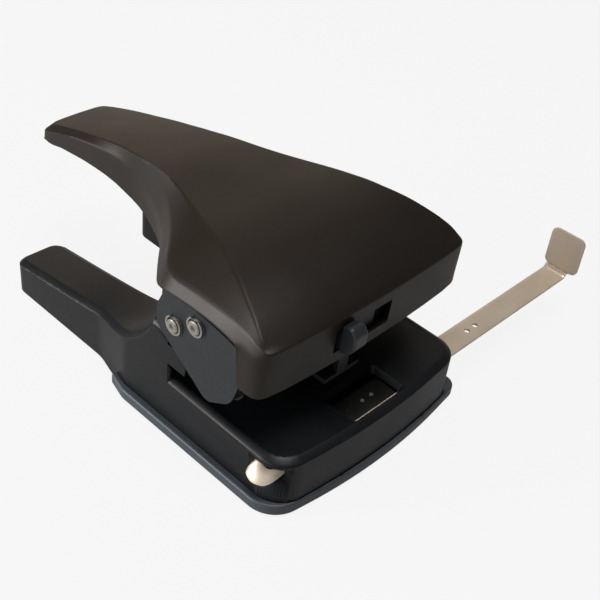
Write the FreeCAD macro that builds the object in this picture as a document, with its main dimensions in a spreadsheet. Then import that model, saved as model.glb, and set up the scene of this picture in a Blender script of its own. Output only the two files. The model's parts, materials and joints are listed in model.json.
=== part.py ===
import FreeCAD, Part
import math
import os
import re

from FreeCAD import Placement, Rotation, Vector

# Two-hole lever punch for files and ring binders, in millimetres.
# Frame: X runs to the user's right, -Y towards the user, +Z up.
# The origin is on the table, on the centre plane, under the paper stop (the back wall of the slot).

doc = FreeCAD.newDocument("lever_punch")
sheet = doc.addObject("Spreadsheet::Sheet", "sizes")

# "reach" sizes count from the paper stop towards the user, "back" sizes away from the user,
# "high" sizes count up from the table, and "half" sizes count from the centre plane.
dimensions = [
    # Base casting
    ("bed_half", 64.2), ("bed_high", 32.5), ("bed_reach", 81.0), ("bed_bow", 5.0),
    ("bed_corner", 15.0), ("edge_round", 4.0), ("casting_wall", 4.0), ("casting_low", 2.6),
    ("paper_gap", 10.0), ("stop_top_high", 62.0), ("shoulder_back", 12.0),
    ("leg_inner_half", 28.0), ("leg_outer_half", 57.0), ("leg_back", 137.0),
    ("leg_end_high", 19.5), ("leg_root_high", 30.0), ("leg_root_back", 60.0),
    ("leg_bottom_high", 1.0), ("leg_corner", 8.0), ("yard_back", 42.0), ("leg_solid", 22.0),
    ("shoulder_fade", 13.0), ("waist_front_back", 32.0), ("waist_rear_back", 60.0),
    ("waist_round", 30.0),
    ("flank_reach", 12.0),
    ("relief_half", 50.5), ("relief_back", 2.6), ("relief_low", 50.0),
    # Jaw over the paper slot
    ("jaw_half", 62.0), ("jaw_floor", 5.0), ("jaw_nose_reach", 48.0), ("jaw_chamfer", 3.0),
    ("jaw_channel_reach", 24.0), ("jaw_wall", 4.0), ("jaw_wall_high", 56.0),
    ("ear_thick", 7.0), ("ear_high", 54.0), ("ear_round", 8.5), ("ear_nose_reach", 54.0),
    ("ear_nose_high", 62.0),
    # Chip tray and feet
    ("tray_half", 68.0), ("tray_reach", 82.6), ("tray_back", 41.0), ("tray_rim_high", 7.0),
    ("tray_corner", 16.5), ("tray_grip_corner", 7.0), ("taper_back", 29.0), ("taper_round", 14.0),
    ("taper_half", 64.8), ("tray_wall", 1.4), ("tray_floor", 1.6), ("tray_gap", 0.3),
    ("foot_radius", 6.0),
    # Punching
    ("hole_pitch", 80.0), ("hole_reach", 12.0), ("punch_radius", 2.75), ("run_clear", 0.05),
    ("punch_retract", 0.7), ("bush_radius", 4.75), ("bush_long", 5.2), ("bush_lift", 0.2),
    ("collar_radius", 4.5), ("collar_thick", 2.5), ("spigot_radius", 2.0), ("spigot_short", 0.7),
    ("die_end", 14.0), ("die_wide", 16.0), ("die_thick", 3.0), ("die_support", 4.5),
    ("chip_hole_radius", 4.2), ("screw_radius", 1.5), ("screw_head_radius", 2.9),
    ("screw_clear", 0.1), ("die_screw_inner", 20.0), ("die_screw_end", 4.0),
    ("die_screw_long", 8.0),
    ("bar_half", 50.0), ("bar_wide", 17.0), ("bar_thick", 5.0), ("bar_gap", 0.3),
    ("bar_shift", 0.5),
    ("spring_half", 20.0), ("spring_radius", 5.0), ("spring_wire", 1.3), ("spring_turns", 3.4),
    ("pocket_radius", 6.2), ("pocket_skin", 1.5), ("bar_pocket", 3.0),
    # Lever frame
    ("pivot_reach", 39.5), ("pivot_high", 57.0), ("stud_radius", 4.0), ("stud_seat", 1.2),
    ("washer_radius", 7.0), ("side_clear", 0.2), ("cheek_gap", 2.6), ("cheek_thick", 2.0),
    ("cheek_back", 5.2), ("cheek_top_high", 88.0), ("cheek_line_high", 84.0), ("lobe_drop", 15.5),
    ("cheek_reach", 48.5), ("cheek_top_reach", 9.0), ("cheek_line_gap", 0.6),
    ("front_shaft_reach", 21.2), ("front_shaft_high", 79.5),
    ("rear_shaft_reach", 7.4), ("rear_shaft_high", 71.6),
    ("shaft_radius", 4.0), ("shaft_half", 69.0), ("groove_radius", 3.0), ("clip_radius", 5.6),
    ("clip_thick", 0.9), ("clip_play", 0.1), ("clip_mouth", 5.0), ("clip_notch", 0.8),
    ("roller_radius", 6.0), ("roller_wide", 12.0), ("sleeve_wall", 1.5),
    ("channel_half", 14.0), ("channel_plate", 2.0), ("channel_low_back", 2.0),
    ("channel_reach", 28.0), ("channel_back", 138.0), ("channel_low_high", 66.0),
    ("channel_edge_high", 80.0),
    # Lever cover
    ("cover_half", 68.6), ("cover_wall", 1.8), ("cover_reach", 66.4), ("cover_bow", 6.4),
    ("cover_corner", 9.0), ("cover_front_low", 64.0), ("cover_step_reach", 48.8),
    ("handle_back", 156.0), ("handle_half", 22.5), ("boss_radius", 4.5), ("boss_front_back", 0.0),
    ("boss_rear_back", 30.0), ("channel_top_high", 100.0), ("boss_front_top", 108.2),
    ("boss_rear_top", 106.4),
    ("rib_half", 58.5), ("rib_wide", 6.0), ("rib_reach", 48.0), ("rib_deep", 5.0),
    ("rib_top_high", 97.6), ("pad_radius", 2.8), ("pad_sink", 1.0), ("pad_lift", 3.0),
    ("clip_room", 0.5), ("clip_room_end", 0.15),
    # Lever lock
    ("slot_left", -27.0), ("slot_right", 9.0), ("slot_low", 72.0), ("slot_high", 84.5),
    ("knob_left", -24.5), ("knob_wide", 8.5), ("knob_low", 72.0), ("knob_tall", 16.5),
    ("knob_deep", 7.8), ("knob_back_reach", 66.8), ("knob_round", 1.2), ("stem_wide", 6.5),
    ("lock_plate_reach", 62.7), ("lock_plate_thick", 1.5), ("lock_plate_left", -34.0),
    ("lock_plate_long", 36.0), ("lock_tab_wide", 6.0), ("lock_tab_low", 64.5),
    ("lock_travel", 20.0), ("rail_wall", 1.5), ("rail_grip", 0.25),
    ("catch_reach", 59.8), ("catch_thick", 3.0), ("catch_top_high", 71.3), ("catch_foot", 2.5),
    ("catch_left", -22.5), ("catch_wide", 23.0), ("catch_seat", 9.0), ("catch_screw_inset", 3.5),
    ("catch_screw_seat", 5.0),
    # Paper guide
    ("strip_reach", 59.0), ("strip_wide", 14.0), ("strip_low", 25.4), ("strip_thick", 1.5),
    ("strip_left", -63.0), ("strip_right", 170.0), ("fence_top_high", 53.5), ("fence_wide", 21.5),
    ("fence_neck_high", 4.0),
    ("curl_low", 21.0), ("strip_hole_radius", 1.6), ("slide_clear", 0.3),
    ("window_left", -16.0), ("window_right", 18.0), ("window_reach", 56.0), ("window_deep", 19.0),
    ("corner_pocket_half", 56.0), ("corner_pocket_reach", 57.4), ("corner_pocket_low", 18.5),
    ("corner_pocket_tall", 9.5), ("corner_pocket_skin", 2.5),
    ("leaf_half", 36.0), ("leaf_wide", 10.0), ("leaf_thick", 1.0), ("leaf_gap", 0.2),
    ("leaf_long", 20.0), ("leaf_screw_gap", 6.0), ("leaf_boss_radius", 4.5),
]


def fill_sheet():
    for number, (alias, value) in enumerate(dimensions, start=1):
        sheet.set(f"A{number}", alias.replace("_", " "))
        sheet.set(f"B{number}", str(value))
        sheet.setAlias(f"B{number}", alias)
    doc.recompute()


fill_sheet()
aliases = {alias for alias, value in dimensions}


def size(alias):
    return float(getattr(sheet, alias))


def rule(text):
    # An expression written with plain aliases, with the sheet's name put before each one.
    return re.sub(r"[a-z_]+", lambda word: f"sizes.{word[0]}" if word[0] in aliases else word[0], text)


def bind(item, **rules):
    for prop, text in rules.items():
        item.setExpression(prop, rule(text))
    return item


def place(item, x, y, z):
    item.setExpression("Placement.Base.x", rule(x))
    item.setExpression("Placement.Base.y", rule(y))
    item.setExpression("Placement.Base.z", rule(z))
    return item


along_x = Rotation(Vector(0, 1, 0), 90)
along_y = Rotation(Vector(1, 0, 0), -90)
upright = Rotation()


def block(name, x, y, z, long, deep, tall):
    item = doc.addObject("Part::Box", name)
    bind(item, Length=long, Width=deep, Height=tall)
    return place(item, x, y, z)


def rod(name, x, y, z, radius, length, turn=upright):
    item = doc.addObject("Part::Cylinder", name)
    item.Placement = Placement(Vector(), turn)
    bind(item, Radius=radius, Height=length)
    return place(item, x, y, z)


def cone(name, x, y, z, radius_one, radius_two, length, turn=upright):
    item = doc.addObject("Part::Cone", name)
    item.Placement = Placement(Vector(), turn)
    bind(item, Radius1=radius_one, Radius2=radius_two, Height=length)
    return place(item, x, y, z)


def cut(name, base, *tools):
    item = doc.addObject("Part::Cut", name)
    item.Base = base
    item.Tool = tools[0] if len(tools) == 1 else fuse(name + "_tools", *tools)
    return item


def fuse(name, *parts):
    item = doc.addObject("Part::MultiFuse", name)
    item.Shapes = list(parts)
    return item


def feature(name, shape):
    item = doc.addObject("Part::Feature", name)
    item.Shape = shape
    return item


nodes = []


def node(name, item):
    item.Label = name
    nodes.append(item)
    return item


def mirrored(x, sign):
    # The place x from the centre plane on the side +1 or -1.
    return x if sign > 0 else f"-({x})"


def start(x, long, sign):
    # The low X of a piece that reaches from x to x + long on the side +1 or -1.
    return x if sign > 0 else f"-({x}) - ({long})"


sides = (("left", -1), ("right", 1))

slot_top = "bed_high + paper_gap"
jaw_top = "bed_high + paper_gap + jaw_floor"
die_half = "(hole_pitch / 2 + die_end)"
die_low = "bed_high - die_thick"
die_screws = (("inner", "die_screw_inner"), ("outer", f"{die_half} - die_screw_end"))
leaf_screw_reach = "(strip_reach - leaf_screw_gap)"
catch_screw_spots = (("left", "catch_left + catch_screw_inset"),
                     ("right", "catch_left + catch_wide - catch_screw_inset"))
catch_screw_line = "catch_screw_seat - jaw_nose_reach"
cheek_inner = "(jaw_half + cheek_gap)"
cheek_outer = f"{cheek_inner} + cheek_thick"
bar_low = "rear_shaft_high - roller_radius - bar_gap - bar_thick"


# Outlines: flat closed wires from corners (across, along, round), each corner an arc of its radius.

def outline(corners):
    turns = []
    for number, (across, along, radius) in enumerate(corners):
        here = Vector(across, along, 0)
        before = Vector(*corners[number - 1][:2], 0)
        after = Vector(*corners[(number + 1) % len(corners)][:2], 0)
        to_before = (before - here).normalize()
        to_after = (after - here).normalize()
        if radius == 0:
            turns.append((here, None, here))
            continue
        half_angle = to_before.getAngle(to_after) / 2
        inward = (to_before + to_after).normalize()
        middle = here + inward * (radius / math.sin(half_angle) - radius)
        reach = radius / math.tan(half_angle)
        turns.append((here + to_before * reach, middle, here + to_after * reach))
    edges = []
    for number, (start, middle, end) in enumerate(turns):
        if middle:
            edges.append(Part.Arc(start, middle, end).toShape())
        edges.append(Part.LineSegment(end, turns[(number + 1) % len(turns)][0]).toShape())
    return Part.Wire(edges)


def mirror_corners(corners):
    # The corners of the right half, followed by their mirror images back along the left half.
    return corners + [(-across, along, radius) for across, along, radius in reversed(corners)]


def standing(wire, low, high):
    # A prism of a plan outline between two heights.
    face = Part.Face(wire)
    face.translate(Vector(0, 0, low))
    return face.extrude(Vector(0, 0, high - low))


def crosswise(wire, left, right):
    # A prism of a side outline (Y, Z) between two places on X.
    face = Part.Face(wire)
    face.Placement = Placement(Vector(left, 0, 0), Rotation(Vector(1, 1, 1), 120))
    return face.extrude(Vector(right - left, 0, 0))


def bowed_front(half, reach, bow, corner):
    # The front corner and the bowed front of a plan outline, for the right half.
    lift = 0.54 * bow
    radius = 0.7 * half * half / (bow + lift)
    return [(0, -(reach + lift), radius), (half, -(reach - bow), corner)]


def bowed_plan(half, reach, bow, corner, back):
    front = bowed_front(half, reach, bow, corner)
    right = [front[1], (half, back, 0)]
    left = [(-across, along, radius) for across, along, radius in reversed(right)]
    return outline([front[0]] + right + left)


# Base casting

def body_top(back):
    # Height of the casting's top at a distance behind the paper stop: the leg's slope and the shoulder.
    fall = size("leg_root_high") - size("leg_end_high")
    slope = fall / (size("leg_back") - size("leg_root_back"))
    leg = size("leg_end_high") + slope * (size("leg_back") - back)
    shoulder = size("shoulder_back")
    leg_there = size("leg_end_high") + slope * (size("leg_back") - shoulder)
    rise = size("stop_top_high") - leg_there
    return leg + rise * math.exp(-(back - shoulder) / size("shoulder_fade"))


def rear_side(front, end, drop):
    # Side view of the rear block from the paper stop to the legs' ends, lowered by drop.
    shoulder = max(size("shoulder_back"), front + 1)
    span = end - shoulder
    backs = [shoulder + span * share for share in (0, 0.05, 0.1, 0.16, 0.24, 0.36, 0.55, 0.78, 1)]
    curve = Part.BSplineCurve()
    curve.interpolate([Vector(back, body_top(back) - drop, 0) for back in backs])
    low = -5.0
    top_start = Vector(front, size("stop_top_high") - drop, 0)
    edges = [
        Part.LineSegment(Vector(front, low, 0), top_start).toShape(),
        Part.LineSegment(top_start, curve.StartPoint).toShape(),
        curve.toShape(),
        Part.LineSegment(curve.EndPoint, Vector(end, low, 0)).toShape(),
        Part.LineSegment(Vector(end, low, 0), Vector(front, low, 0)).toShape(),
    ]
    return Part.Wire(edges)


def rear_plan(inset, front, end):
    # Plan of the rear block: the full width at the stop, narrowing to two legs with a yard between.
    corner = size("leg_corner")
    right = [
        (size("bed_half") - inset, front, 0),
        (size("bed_half") - inset, size("waist_front_back"), size("waist_round")),
        (size("leg_outer_half") - inset, size("waist_rear_back"), size("waist_round")),
        (size("leg_outer_half") - inset, end, max(corner - inset, 1.0)),
        (size("leg_inner_half") + inset, end, max(corner - inset, 1.0)),
        (size("leg_inner_half") + inset, size("yard_back") - inset, corner),
    ]
    return outline(mirror_corners(right))


def soften(shape, radius, wanted):
    return shape.makeFillet(radius, [edge for edge in shape.Edges if wanted(edge)])


def bed_blank():
    half = size("bed_half")
    back = size("waist_front_back")
    plan = bowed_plan(half, size("bed_reach"), size("bed_bow"), size("bed_corner"), back)
    bed = standing(plan, size("casting_low"), size("bed_high"))
    high = size("bed_high") - 0.01

    def on_rim(edge):
        middle = edge.CenterOfMass
        return edge.BoundBox.ZMin > high and middle.y < back - 1

    return soften(bed, size("edge_round"), on_rim)


def rear_blank():
    end = size("leg_back")
    plan = standing(rear_plan(0, 0, end), size("leg_bottom_high"), 90.0)
    block = plan.common(crosswise(rear_side(0, end, 0), -80.0, 80.0))

    def on_rim(edge):
        middle = edge.valueAt((edge.FirstParameter + edge.LastParameter) / 2)
        along_top = abs(middle.z - body_top(max(middle.y, size("shoulder_back")))) < 0.2
        return along_top and middle.y > 0.5 and edge.BoundBox.YLength + edge.BoundBox.ZLength > 0.5

    rims = [edge for edge in block.Edges if on_rim(edge)]
    return block.makeFillet(size("edge_round"), rims)


def casting_hollow():
    # The room under the bed and inside the rear block and the legs, open at the bottom.
    wall = size("casting_wall")
    half = size("bed_half") - wall
    corner = size("bed_corner") - wall
    plan = bowed_plan(half, size("bed_reach") - wall, size("bed_bow"), corner, wall + 6)
    bed = standing(plan, -5.0, size("bed_high") - wall)
    end = size("leg_back") - size("leg_solid")
    rear = standing(rear_plan(wall, wall, end), -5.0, 90.0)
    return bed.fuse(rear.common(crosswise(rear_side(wall, end, wall), -80.0, 80.0)))


def ear_shape(left):
    # Side view of an ear: low along the punch channel, round about the pivot, with a nose in front.
    pivot = size("pivot_reach")
    round_high = size("pivot_high") + size("ear_round")
    nose = size("ear_nose_reach")
    low = size("bed_high") + size("paper_gap")
    rear_face = pivot - size("ear_round")
    corners = [
        (0.5, low, 0), (0.5, size("ear_high"), 0), (2.5 - rear_face, size("ear_high"), 4.0),
        (-rear_face, round_high, size("ear_round") - 1), (7.0 - nose, round_high, 2.5),
        (7.0 - nose, size("ear_nose_high"), 0.5), (-nose, size("ear_nose_high"), 1.0),
        (-nose, low + 9.0, 2.0), (2.0 - size("jaw_nose_reach"), low + size("jaw_chamfer"), 0),
        (4.0 - size("jaw_nose_reach"), low, 0),
    ]
    return crosswise(outline(corners), left, left + size("ear_thick"))


def window_cutter():
    # The window over the guide strip, its sides sloping outwards to the top of the bed.
    flare = 1.5
    left = size("window_left")
    right = size("window_right")
    near = -(size("window_reach") + size("window_deep"))
    far = -size("window_reach")

    def rim(grow, level):
        corners = [(right, far), (left, far), (left, near), (right, near)]
        middle = (left + right) / 2
        depth = (near + far) / 2
        grown = []
        for across, along in corners:
            across += math.copysign(grow, across - middle)
            grown.append((across, along + math.copysign(grow, along - depth), 2.5))
        wire = outline(grown)
        wire.translate(Vector(0, 0, level))
        return wire

    lower = size("bed_high") - size("casting_wall") - 1
    upper = size("bed_high") + 0.2
    return Part.makeLoft([rim(0, lower), rim(flare, upper)], True, True)


def casting_solids():
    # Everything the casting has besides its outer shell.
    parts = []
    parts.append(block("jaw_plate", "-jaw_half", "-jaw_nose_reach", slot_top, "2 * jaw_half",
                       "jaw_nose_reach + 1", "jaw_floor"))
    parts.append(block("jaw_front_wall", "-jaw_half", "-jaw_channel_reach - jaw_wall", slot_top,
                       "2 * jaw_half", "jaw_wall", "jaw_wall_high - bed_high - paper_gap"))
    parts.append(feature("ear_left", ear_shape(-size("jaw_half"))))
    parts.append(feature("ear_right", ear_shape(size("jaw_half") - size("ear_thick"))))
    parts.append(block("die_support_rib", f"-{die_half} - 1", "-hole_reach - die_wide / 2 - 3",
                       die_low + " - die_support", f"2 * {die_half} + 2", "die_wide + 6",
                       "die_support - 0.5"))
    outer = bowed_plan(size("bed_half"), size("bed_reach"), size("bed_bow"), size("bed_corner"),
                       size("waist_front_back"))
    skin = size("corner_pocket_skin")
    solid = standing(outer, size("corner_pocket_low") - skin, size("bed_high") - 3)
    inner = size("corner_pocket_half") - skin
    reach = size("corner_pocket_reach") - skin
    for side, sign in sides:
        parts.append(rod(f"leaf_boss_{side}", mirrored("leaf_half", sign), f"-{leaf_screw_reach}",
                         "strip_low - leaf_gap", "leaf_boss_radius",
                         "bed_high - casting_wall - strip_low + 1"))
        parts.append(block(f"flank_{side}", start("jaw_half - 1", "bed_half - jaw_half + 1", sign),
                           "-flank_reach", slot_top, "bed_half - jaw_half + 1", "flank_reach + 0.5",
                           "ear_high - bed_high - paper_gap"))
        corner = Vector(inner if sign > 0 else -inner - 40, -reach - 40, 0)
        parts.append(feature(f"corner_wall_{side}", solid.common(Part.makeBox(40, 40, 40, corner))))
    return parts


def casting_holes():
    tools = [feature("window_hole", window_cutter())]
    tools.append(block("die_recess", f"-{die_half} - screw_clear",
                       "-hole_reach - die_wide / 2 - screw_clear", die_low,
                       f"2 * {die_half} + 2 * screw_clear", "die_wide + 2 * screw_clear", "5"))
    tools.append(block("strip_slot", "-80", "-strip_reach - strip_wide - slide_clear",
                       "strip_low - slide_clear", "160", "strip_wide + 2 * slide_clear",
                       "strip_thick + 2 * slide_clear"))
    lead = block("paper_lead_in", "-80", "-jaw_nose_reach", slot_top + " - jaw_chamfer", "160",
                 "jaw_chamfer * sqrt(2)", "jaw_chamfer * sqrt(2)")
    lead.Placement = Placement(lead.Placement.Base, Rotation(Vector(1, 0, 0), 45))
    tools.append(lead)
    tools.append(rod("pivot_bore", "-80", "-pivot_reach", "pivot_high", "stud_radius + run_clear",
                     "160", along_x))
    for side, sign in sides:
        pocket = start("corner_pocket_half", "20", sign)
        tools.append(block(f"corner_pocket_{side}", pocket, "-corner_pocket_reach - 40",
                           "corner_pocket_low", "20", "40", "corner_pocket_tall"))
        punch = mirrored("hole_pitch / 2", sign)
        tools.append(rod(f"bush_bore_{side}", punch, "-hole_reach", slot_top, "bush_radius",
                         "jaw_floor + 1"))
        tools.append(rod(f"chip_hole_{side}", punch, "-hole_reach", "10", "chip_hole_radius", "20"))
        spring = mirrored("spring_half", sign)
        tools.append(rod(f"spring_pocket_{side}", spring, "-hole_reach", slot_top + " + pocket_skin",
                         "pocket_radius", "jaw_floor"))
        for spot, across in die_screws:
            tools.append(rod(f"die_tap_{spot}_{side}", mirrored(across, sign), "-hole_reach", "10",
                             "screw_radius", "20"))
        tools.append(rod(f"leaf_tap_{side}", mirrored("leaf_half", sign), f"-{leaf_screw_reach}",
                         "10", "screw_radius", "bed_high - casting_wall - 9"))
        tools.append(rod(f"pad_seat_{side}", mirrored("rib_half", sign), "-rib_reach - rib_deep / 2",
                         "ear_nose_high - pad_sink", "pad_radius", "5"))
    for spot, across in catch_screw_spots:
        tools.append(rod(f"catch_tap_{spot}", across, catch_screw_line, slot_top, "screw_radius", "9"))
    return tools


def make_base_casting():
    blank = feature("casting_blank", bed_blank().fuse(rear_blank()))
    room = feature("casting_room", casting_hollow())
    under = block("casting_under", "-100", "-100", "-10", "200", "100 + tray_back + tray_gap",
                  "10 + casting_low")
    relief = block("roller_relief", "-relief_half", "-1", "relief_low", "2 * relief_half",
                   "1 + relief_back", "30")
    shell = cut("casting_shell", blank, room, under, relief)
    whole = fuse("casting_whole", shell, *casting_solids())
    return node("base_casting", cut("base_casting", whole, *casting_holes()))


# Chip tray and feet

def tray_plan(inset, back):
    # The lip's outline: a tighter right front corner to grip, and rear corners that follow the waist.
    half = size("tray_half") - inset
    front, corner = bowed_front(half, size("tray_reach") - inset, size("cover_bow"),
                                size("tray_corner") - inset)
    taper = [(half, size("taper_back"), size("taper_round")), (size("taper_half") - 2 * inset, back, 0)]
    left = [(-across, along, radius) for across, along, radius in reversed([corner] + taper)]
    grip = (corner[0], corner[1], size("tray_grip_corner") - inset)
    return outline([front, grip] + taper + left)


def make_chip_tray():
    low = size("leg_bottom_high")
    floor = low + size("tray_floor")
    rim = size("tray_rim_high")
    back = size("tray_back")
    plate = standing(tray_plan(0, back), low, rim)

    def lower_rim(edge):
        return edge.BoundBox.ZMax < low + 0.01

    def upper_rim(edge):
        return edge.BoundBox.ZMin > rim - 0.01 and edge.CenterOfMass.y < back - 0.1

    plate = soften(soften(plate, 0.8, lower_rim), 1.2, upper_rim)
    wall = size("tray_wall")
    room = standing(tray_plan(wall, back + 5), floor, rim - wall)
    gap = size("tray_gap")
    bed = bowed_plan(size("bed_half") + gap, size("bed_reach") + gap, size("bed_bow"),
                     size("bed_corner") + gap, size("waist_front_back"))
    rear = standing(rear_plan(-gap, 0, size("leg_back")), floor, 20)
    opening = standing(bed, floor, 20).fuse(rear)
    tray = plate.cut(room).cut(opening)
    return node("chip_tray", feature("chip_tray", tray))


def make_feet():
    spots = (("front", "56", "-62"), ("middle", "58", "20"), ("rear", "42.5", "leg_back - 9"))
    for name, across, along in spots:
        for side, sign in sides:
            foot = rod(f"foot_{name}_{side}", mirrored(across, sign), along, "0", "foot_radius",
                       "leg_bottom_high")
            node(f"foot_{name}_{side}", foot)
    centre = rod("foot_centre", "0", "0", "0", "foot_radius", "leg_bottom_high")
    node("foot_centre", centre)


# Punching

def make_die_plate():
    plate = block("die_blank", f"-{die_half}", "-hole_reach - die_wide / 2", die_low,
                  f"2 * {die_half}", "die_wide", "die_thick")
    tools = []
    for side, sign in sides:
        tools.append(rod(f"die_hole_{side}", mirrored("hole_pitch / 2", sign), "-hole_reach", "20",
                         "punch_radius + run_clear", "20"))
        for spot, place_on_x in die_screws:
            across = mirrored(place_on_x, sign)
            tools.append(rod(f"die_screw_hole_{spot}_{side}", across, "-hole_reach", "20",
                             "screw_radius + screw_clear", "20"))
            tools.append(cone(f"die_sink_{spot}_{side}", across, "-hole_reach",
                              "bed_high - screw_head_radius + screw_radius", "screw_radius",
                              "screw_head_radius", "screw_head_radius - screw_radius"))
    return node("die_plate", cut("die_plate", plate, *tools))


def make_die_screws():
    for side, sign in sides:
        for spot, place_on_x in die_screws:
            name = f"die_screw_{spot}_{side}"
            across = mirrored(place_on_x, sign)
            head = cone(f"{name}_head", across, "-hole_reach",
                        "bed_high - screw_head_radius + screw_radius", "screw_radius",
                        "screw_head_radius", "screw_head_radius - screw_radius")
            shank = rod(f"{name}_shank", across, "-hole_reach", "bed_high - die_screw_long",
                        "screw_radius", "die_screw_long - 1")
            drive = block(f"{name}_drive", f"{across} - screw_head_radius", "-hole_reach - 0.4",
                          "bed_high - 0.7", "2 * screw_head_radius", "0.8", "1")
            node(name, cut(name, fuse(f"{name}_body", head, shank), drive))


def make_bushes():
    for side, sign in sides:
        name = f"guide_bush_{side}"
        across = mirrored("hole_pitch / 2", sign)
        low = slot_top + " + bush_lift"
        outer = rod(f"{name}_outer", across, "-hole_reach", low, "bush_radius", "bush_long")
        bore = rod(f"{name}_bore", across, "-hole_reach", "30", "punch_radius + run_clear", "30")
        node(name, cut(name, outer, bore))


def make_punches():
    tip = slot_top + " + punch_retract"
    for side, sign in sides:
        name = f"punch_{side}"
        across = mirrored("hole_pitch / 2", sign)
        pin = rod(f"{name}_pin", across, "-hole_reach", tip, "punch_radius",
                  f"{bar_low} - bed_high - paper_gap - punch_retract")
        collar = rod(f"{name}_collar", across, "-hole_reach", bar_low, "collar_radius",
                     "collar_thick")
        spigot = rod(f"{name}_spigot", across, "-hole_reach", bar_low, "spigot_radius",
                     "bar_thick - spigot_short")
        grind = rod(f"{name}_grind", across, "-hole_reach - 10", tip + " - 4.18", "5", "20", along_y)
        node(name, cut(name, fuse(f"{name}_body", pin, collar, spigot), grind))


def make_punch_bar():
    bar = block("bar_blank", "-bar_half", "bar_shift - hole_reach - bar_wide / 2", bar_low,
                "2 * bar_half", "bar_wide", "bar_thick")
    tools = []
    for side, sign in sides:
        punch = mirrored("hole_pitch / 2", sign)
        tools.append(rod(f"collar_seat_{side}", punch, "-hole_reach", f"{bar_low} - 1",
                         "collar_radius", "collar_thick + 1"))
        tools.append(rod(f"spigot_hole_{side}", punch, "-hole_reach", bar_low, "spigot_radius",
                         "bar_thick + 1"))
        tools.append(rod(f"bar_pocket_{side}", mirrored("spring_half", sign), "-hole_reach",
                         f"{bar_low} - 1", "pocket_radius", "bar_pocket + 1"))
    return node("punch_bar", cut("punch_bar", bar, *tools))


def spring_shape(across, along, low, high):
    # A compression spring swept along one curve: open turns between a nearly closed turn at each end.
    wire = size("spring_wire")
    radius = size("spring_radius")
    tall = high - low - wire
    closed = 0.9
    closed_rise = 1.02 * wire
    total = size("spring_turns") + 2 * closed

    def rise(turn):
        if turn < closed:
            return closed_rise * turn
        if turn > total - closed:
            return tall - closed_rise * (total - turn)
        share = (turn - closed) / size("spring_turns")
        return closed_rise * closed + (tall - 2 * closed_rise * closed) * share

    count = round(total * 12)
    points = []
    for number in range(count + 1):
        turn = total * number / count
        angle = 2 * math.pi * turn
        points.append(Vector(radius * math.cos(angle), radius * math.sin(angle), rise(turn)))
    curve = Part.BSplineCurve()
    curve.interpolate(points)
    first = curve.FirstParameter
    heading = curve.tangent(first)[0]
    pieces = round(total * 3)
    step = (curve.LastParameter - first) / pieces
    edges = []
    for number in range(pieces):
        part = curve.copy()
        part.segment(first + step * number, first + step * (number + 1))
        edges.append(part.toShape())
    side = heading.cross(Vector(1, 0, 0)).normalize() * (wire / 2)
    out = side.cross(heading)
    angles = [2 * math.pi * number / 8 for number in range(9)]
    ring = [points[0] + out * math.cos(angle) + side * math.sin(angle) for angle in angles]
    ring[-1] = ring[0]
    spring = Part.Wire(edges).makePipeShell([Part.makePolygon(ring)], True, True)
    spring.translate(Vector(across, along, low + wire / 2))
    return spring


def make_springs():
    low = size("bed_high") + size("paper_gap") + size("pocket_skin")
    bar_underside = size("rear_shaft_high") - size("roller_radius") - size("bar_gap")
    high = bar_underside - size("bar_thick") + size("bar_pocket")
    for side, sign in sides:
        shape = spring_shape(sign * size("spring_half"), -size("hole_reach"), low, high)
        node(f"return_spring_{side}", feature(f"return_spring_{side}", shape))


# Lever frame

def make_pivots():
    stud_start = "jaw_half - ear_thick + 0.5"
    for side, sign in sides:
        long = "cheek_gap + stud_seat + ear_thick - 0.5"
        stud = rod(f"pivot_stud_{side}", start(stud_start, long, sign), "-pivot_reach",
                   "pivot_high", "stud_radius", long, along_x)
        node(f"pivot_stud_{side}", stud)
        room = "cheek_gap - 2 * side_clear"
        left = start("jaw_half + side_clear", room, sign)
        disc = rod(f"pivot_washer_{side}_disc", left, "-pivot_reach", "pivot_high",
                   "washer_radius", room, along_x)
        bore = rod(f"pivot_washer_{side}_bore", left, "-pivot_reach", "pivot_high",
                   "stud_radius", room, along_x)
        node(f"pivot_washer_{side}", cut(f"pivot_washer_{side}", disc, bore))


def cheek_outline():
    back = size("cheek_back")
    line = size("cheek_line_high") - size("cheek_line_gap")
    lobe_low = size("pivot_high") - size("lobe_drop")
    front = -size("cheek_reach")
    step = -size("cheek_top_reach")
    top = size("cheek_top_high")
    shaft_high = size("rear_shaft_high")
    pivot = -size("pivot_reach")
    return outline([
        (front, top, 2.0), (step, top, 1.0), (step, line, 0.5), (back - 3.5, line, 1.0),
        (back, shaft_high + 4.4, 6.0), (back, shaft_high - 6.7, 4.0), (pivot + 10.0, lobe_low, 6.0),
        (pivot - 5.0, lobe_low + 9.0, 13.0), (front, lobe_low + 22.0, 6.0),
    ])


def make_cheeks():
    for side, sign in sides:
        name = f"cheek_{side}"
        inner = size("jaw_half") + size("cheek_gap")
        left = inner if sign > 0 else -inner - size("cheek_thick")
        plate = feature(f"{name}_plate", crosswise(cheek_outline(), left, left + size("cheek_thick")))
        seat = rod(f"{name}_seat", start(f"{cheek_inner} - 1", "1 + stud_seat", sign),
                   "-pivot_reach", "pivot_high", "stud_radius", "1 + stud_seat", along_x)
        tools = [seat]
        for shaft in ("front", "rear"):
            tools.append(rod(f"{name}_{shaft}_hole", "-80", f"-{shaft}_shaft_reach",
                             f"{shaft}_shaft_high", "shaft_radius", "160", along_x))
        node(name, cut(name, plate, *tools))


def groove(name, low, reach, high):
    ring = rod(f"{name}_ring", low, reach, high, "shaft_radius + 1", "clip_thick + clip_play",
               along_x)
    core = rod(f"{name}_core", low, reach, high, "groove_radius", "clip_thick + clip_play", along_x)
    return cut(name, ring, core)


clip_out = f"{cheek_outer} + side_clear - 0.05"
clip_in = "hole_pitch / 2 + roller_wide / 2 + side_clear - 0.05"


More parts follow.
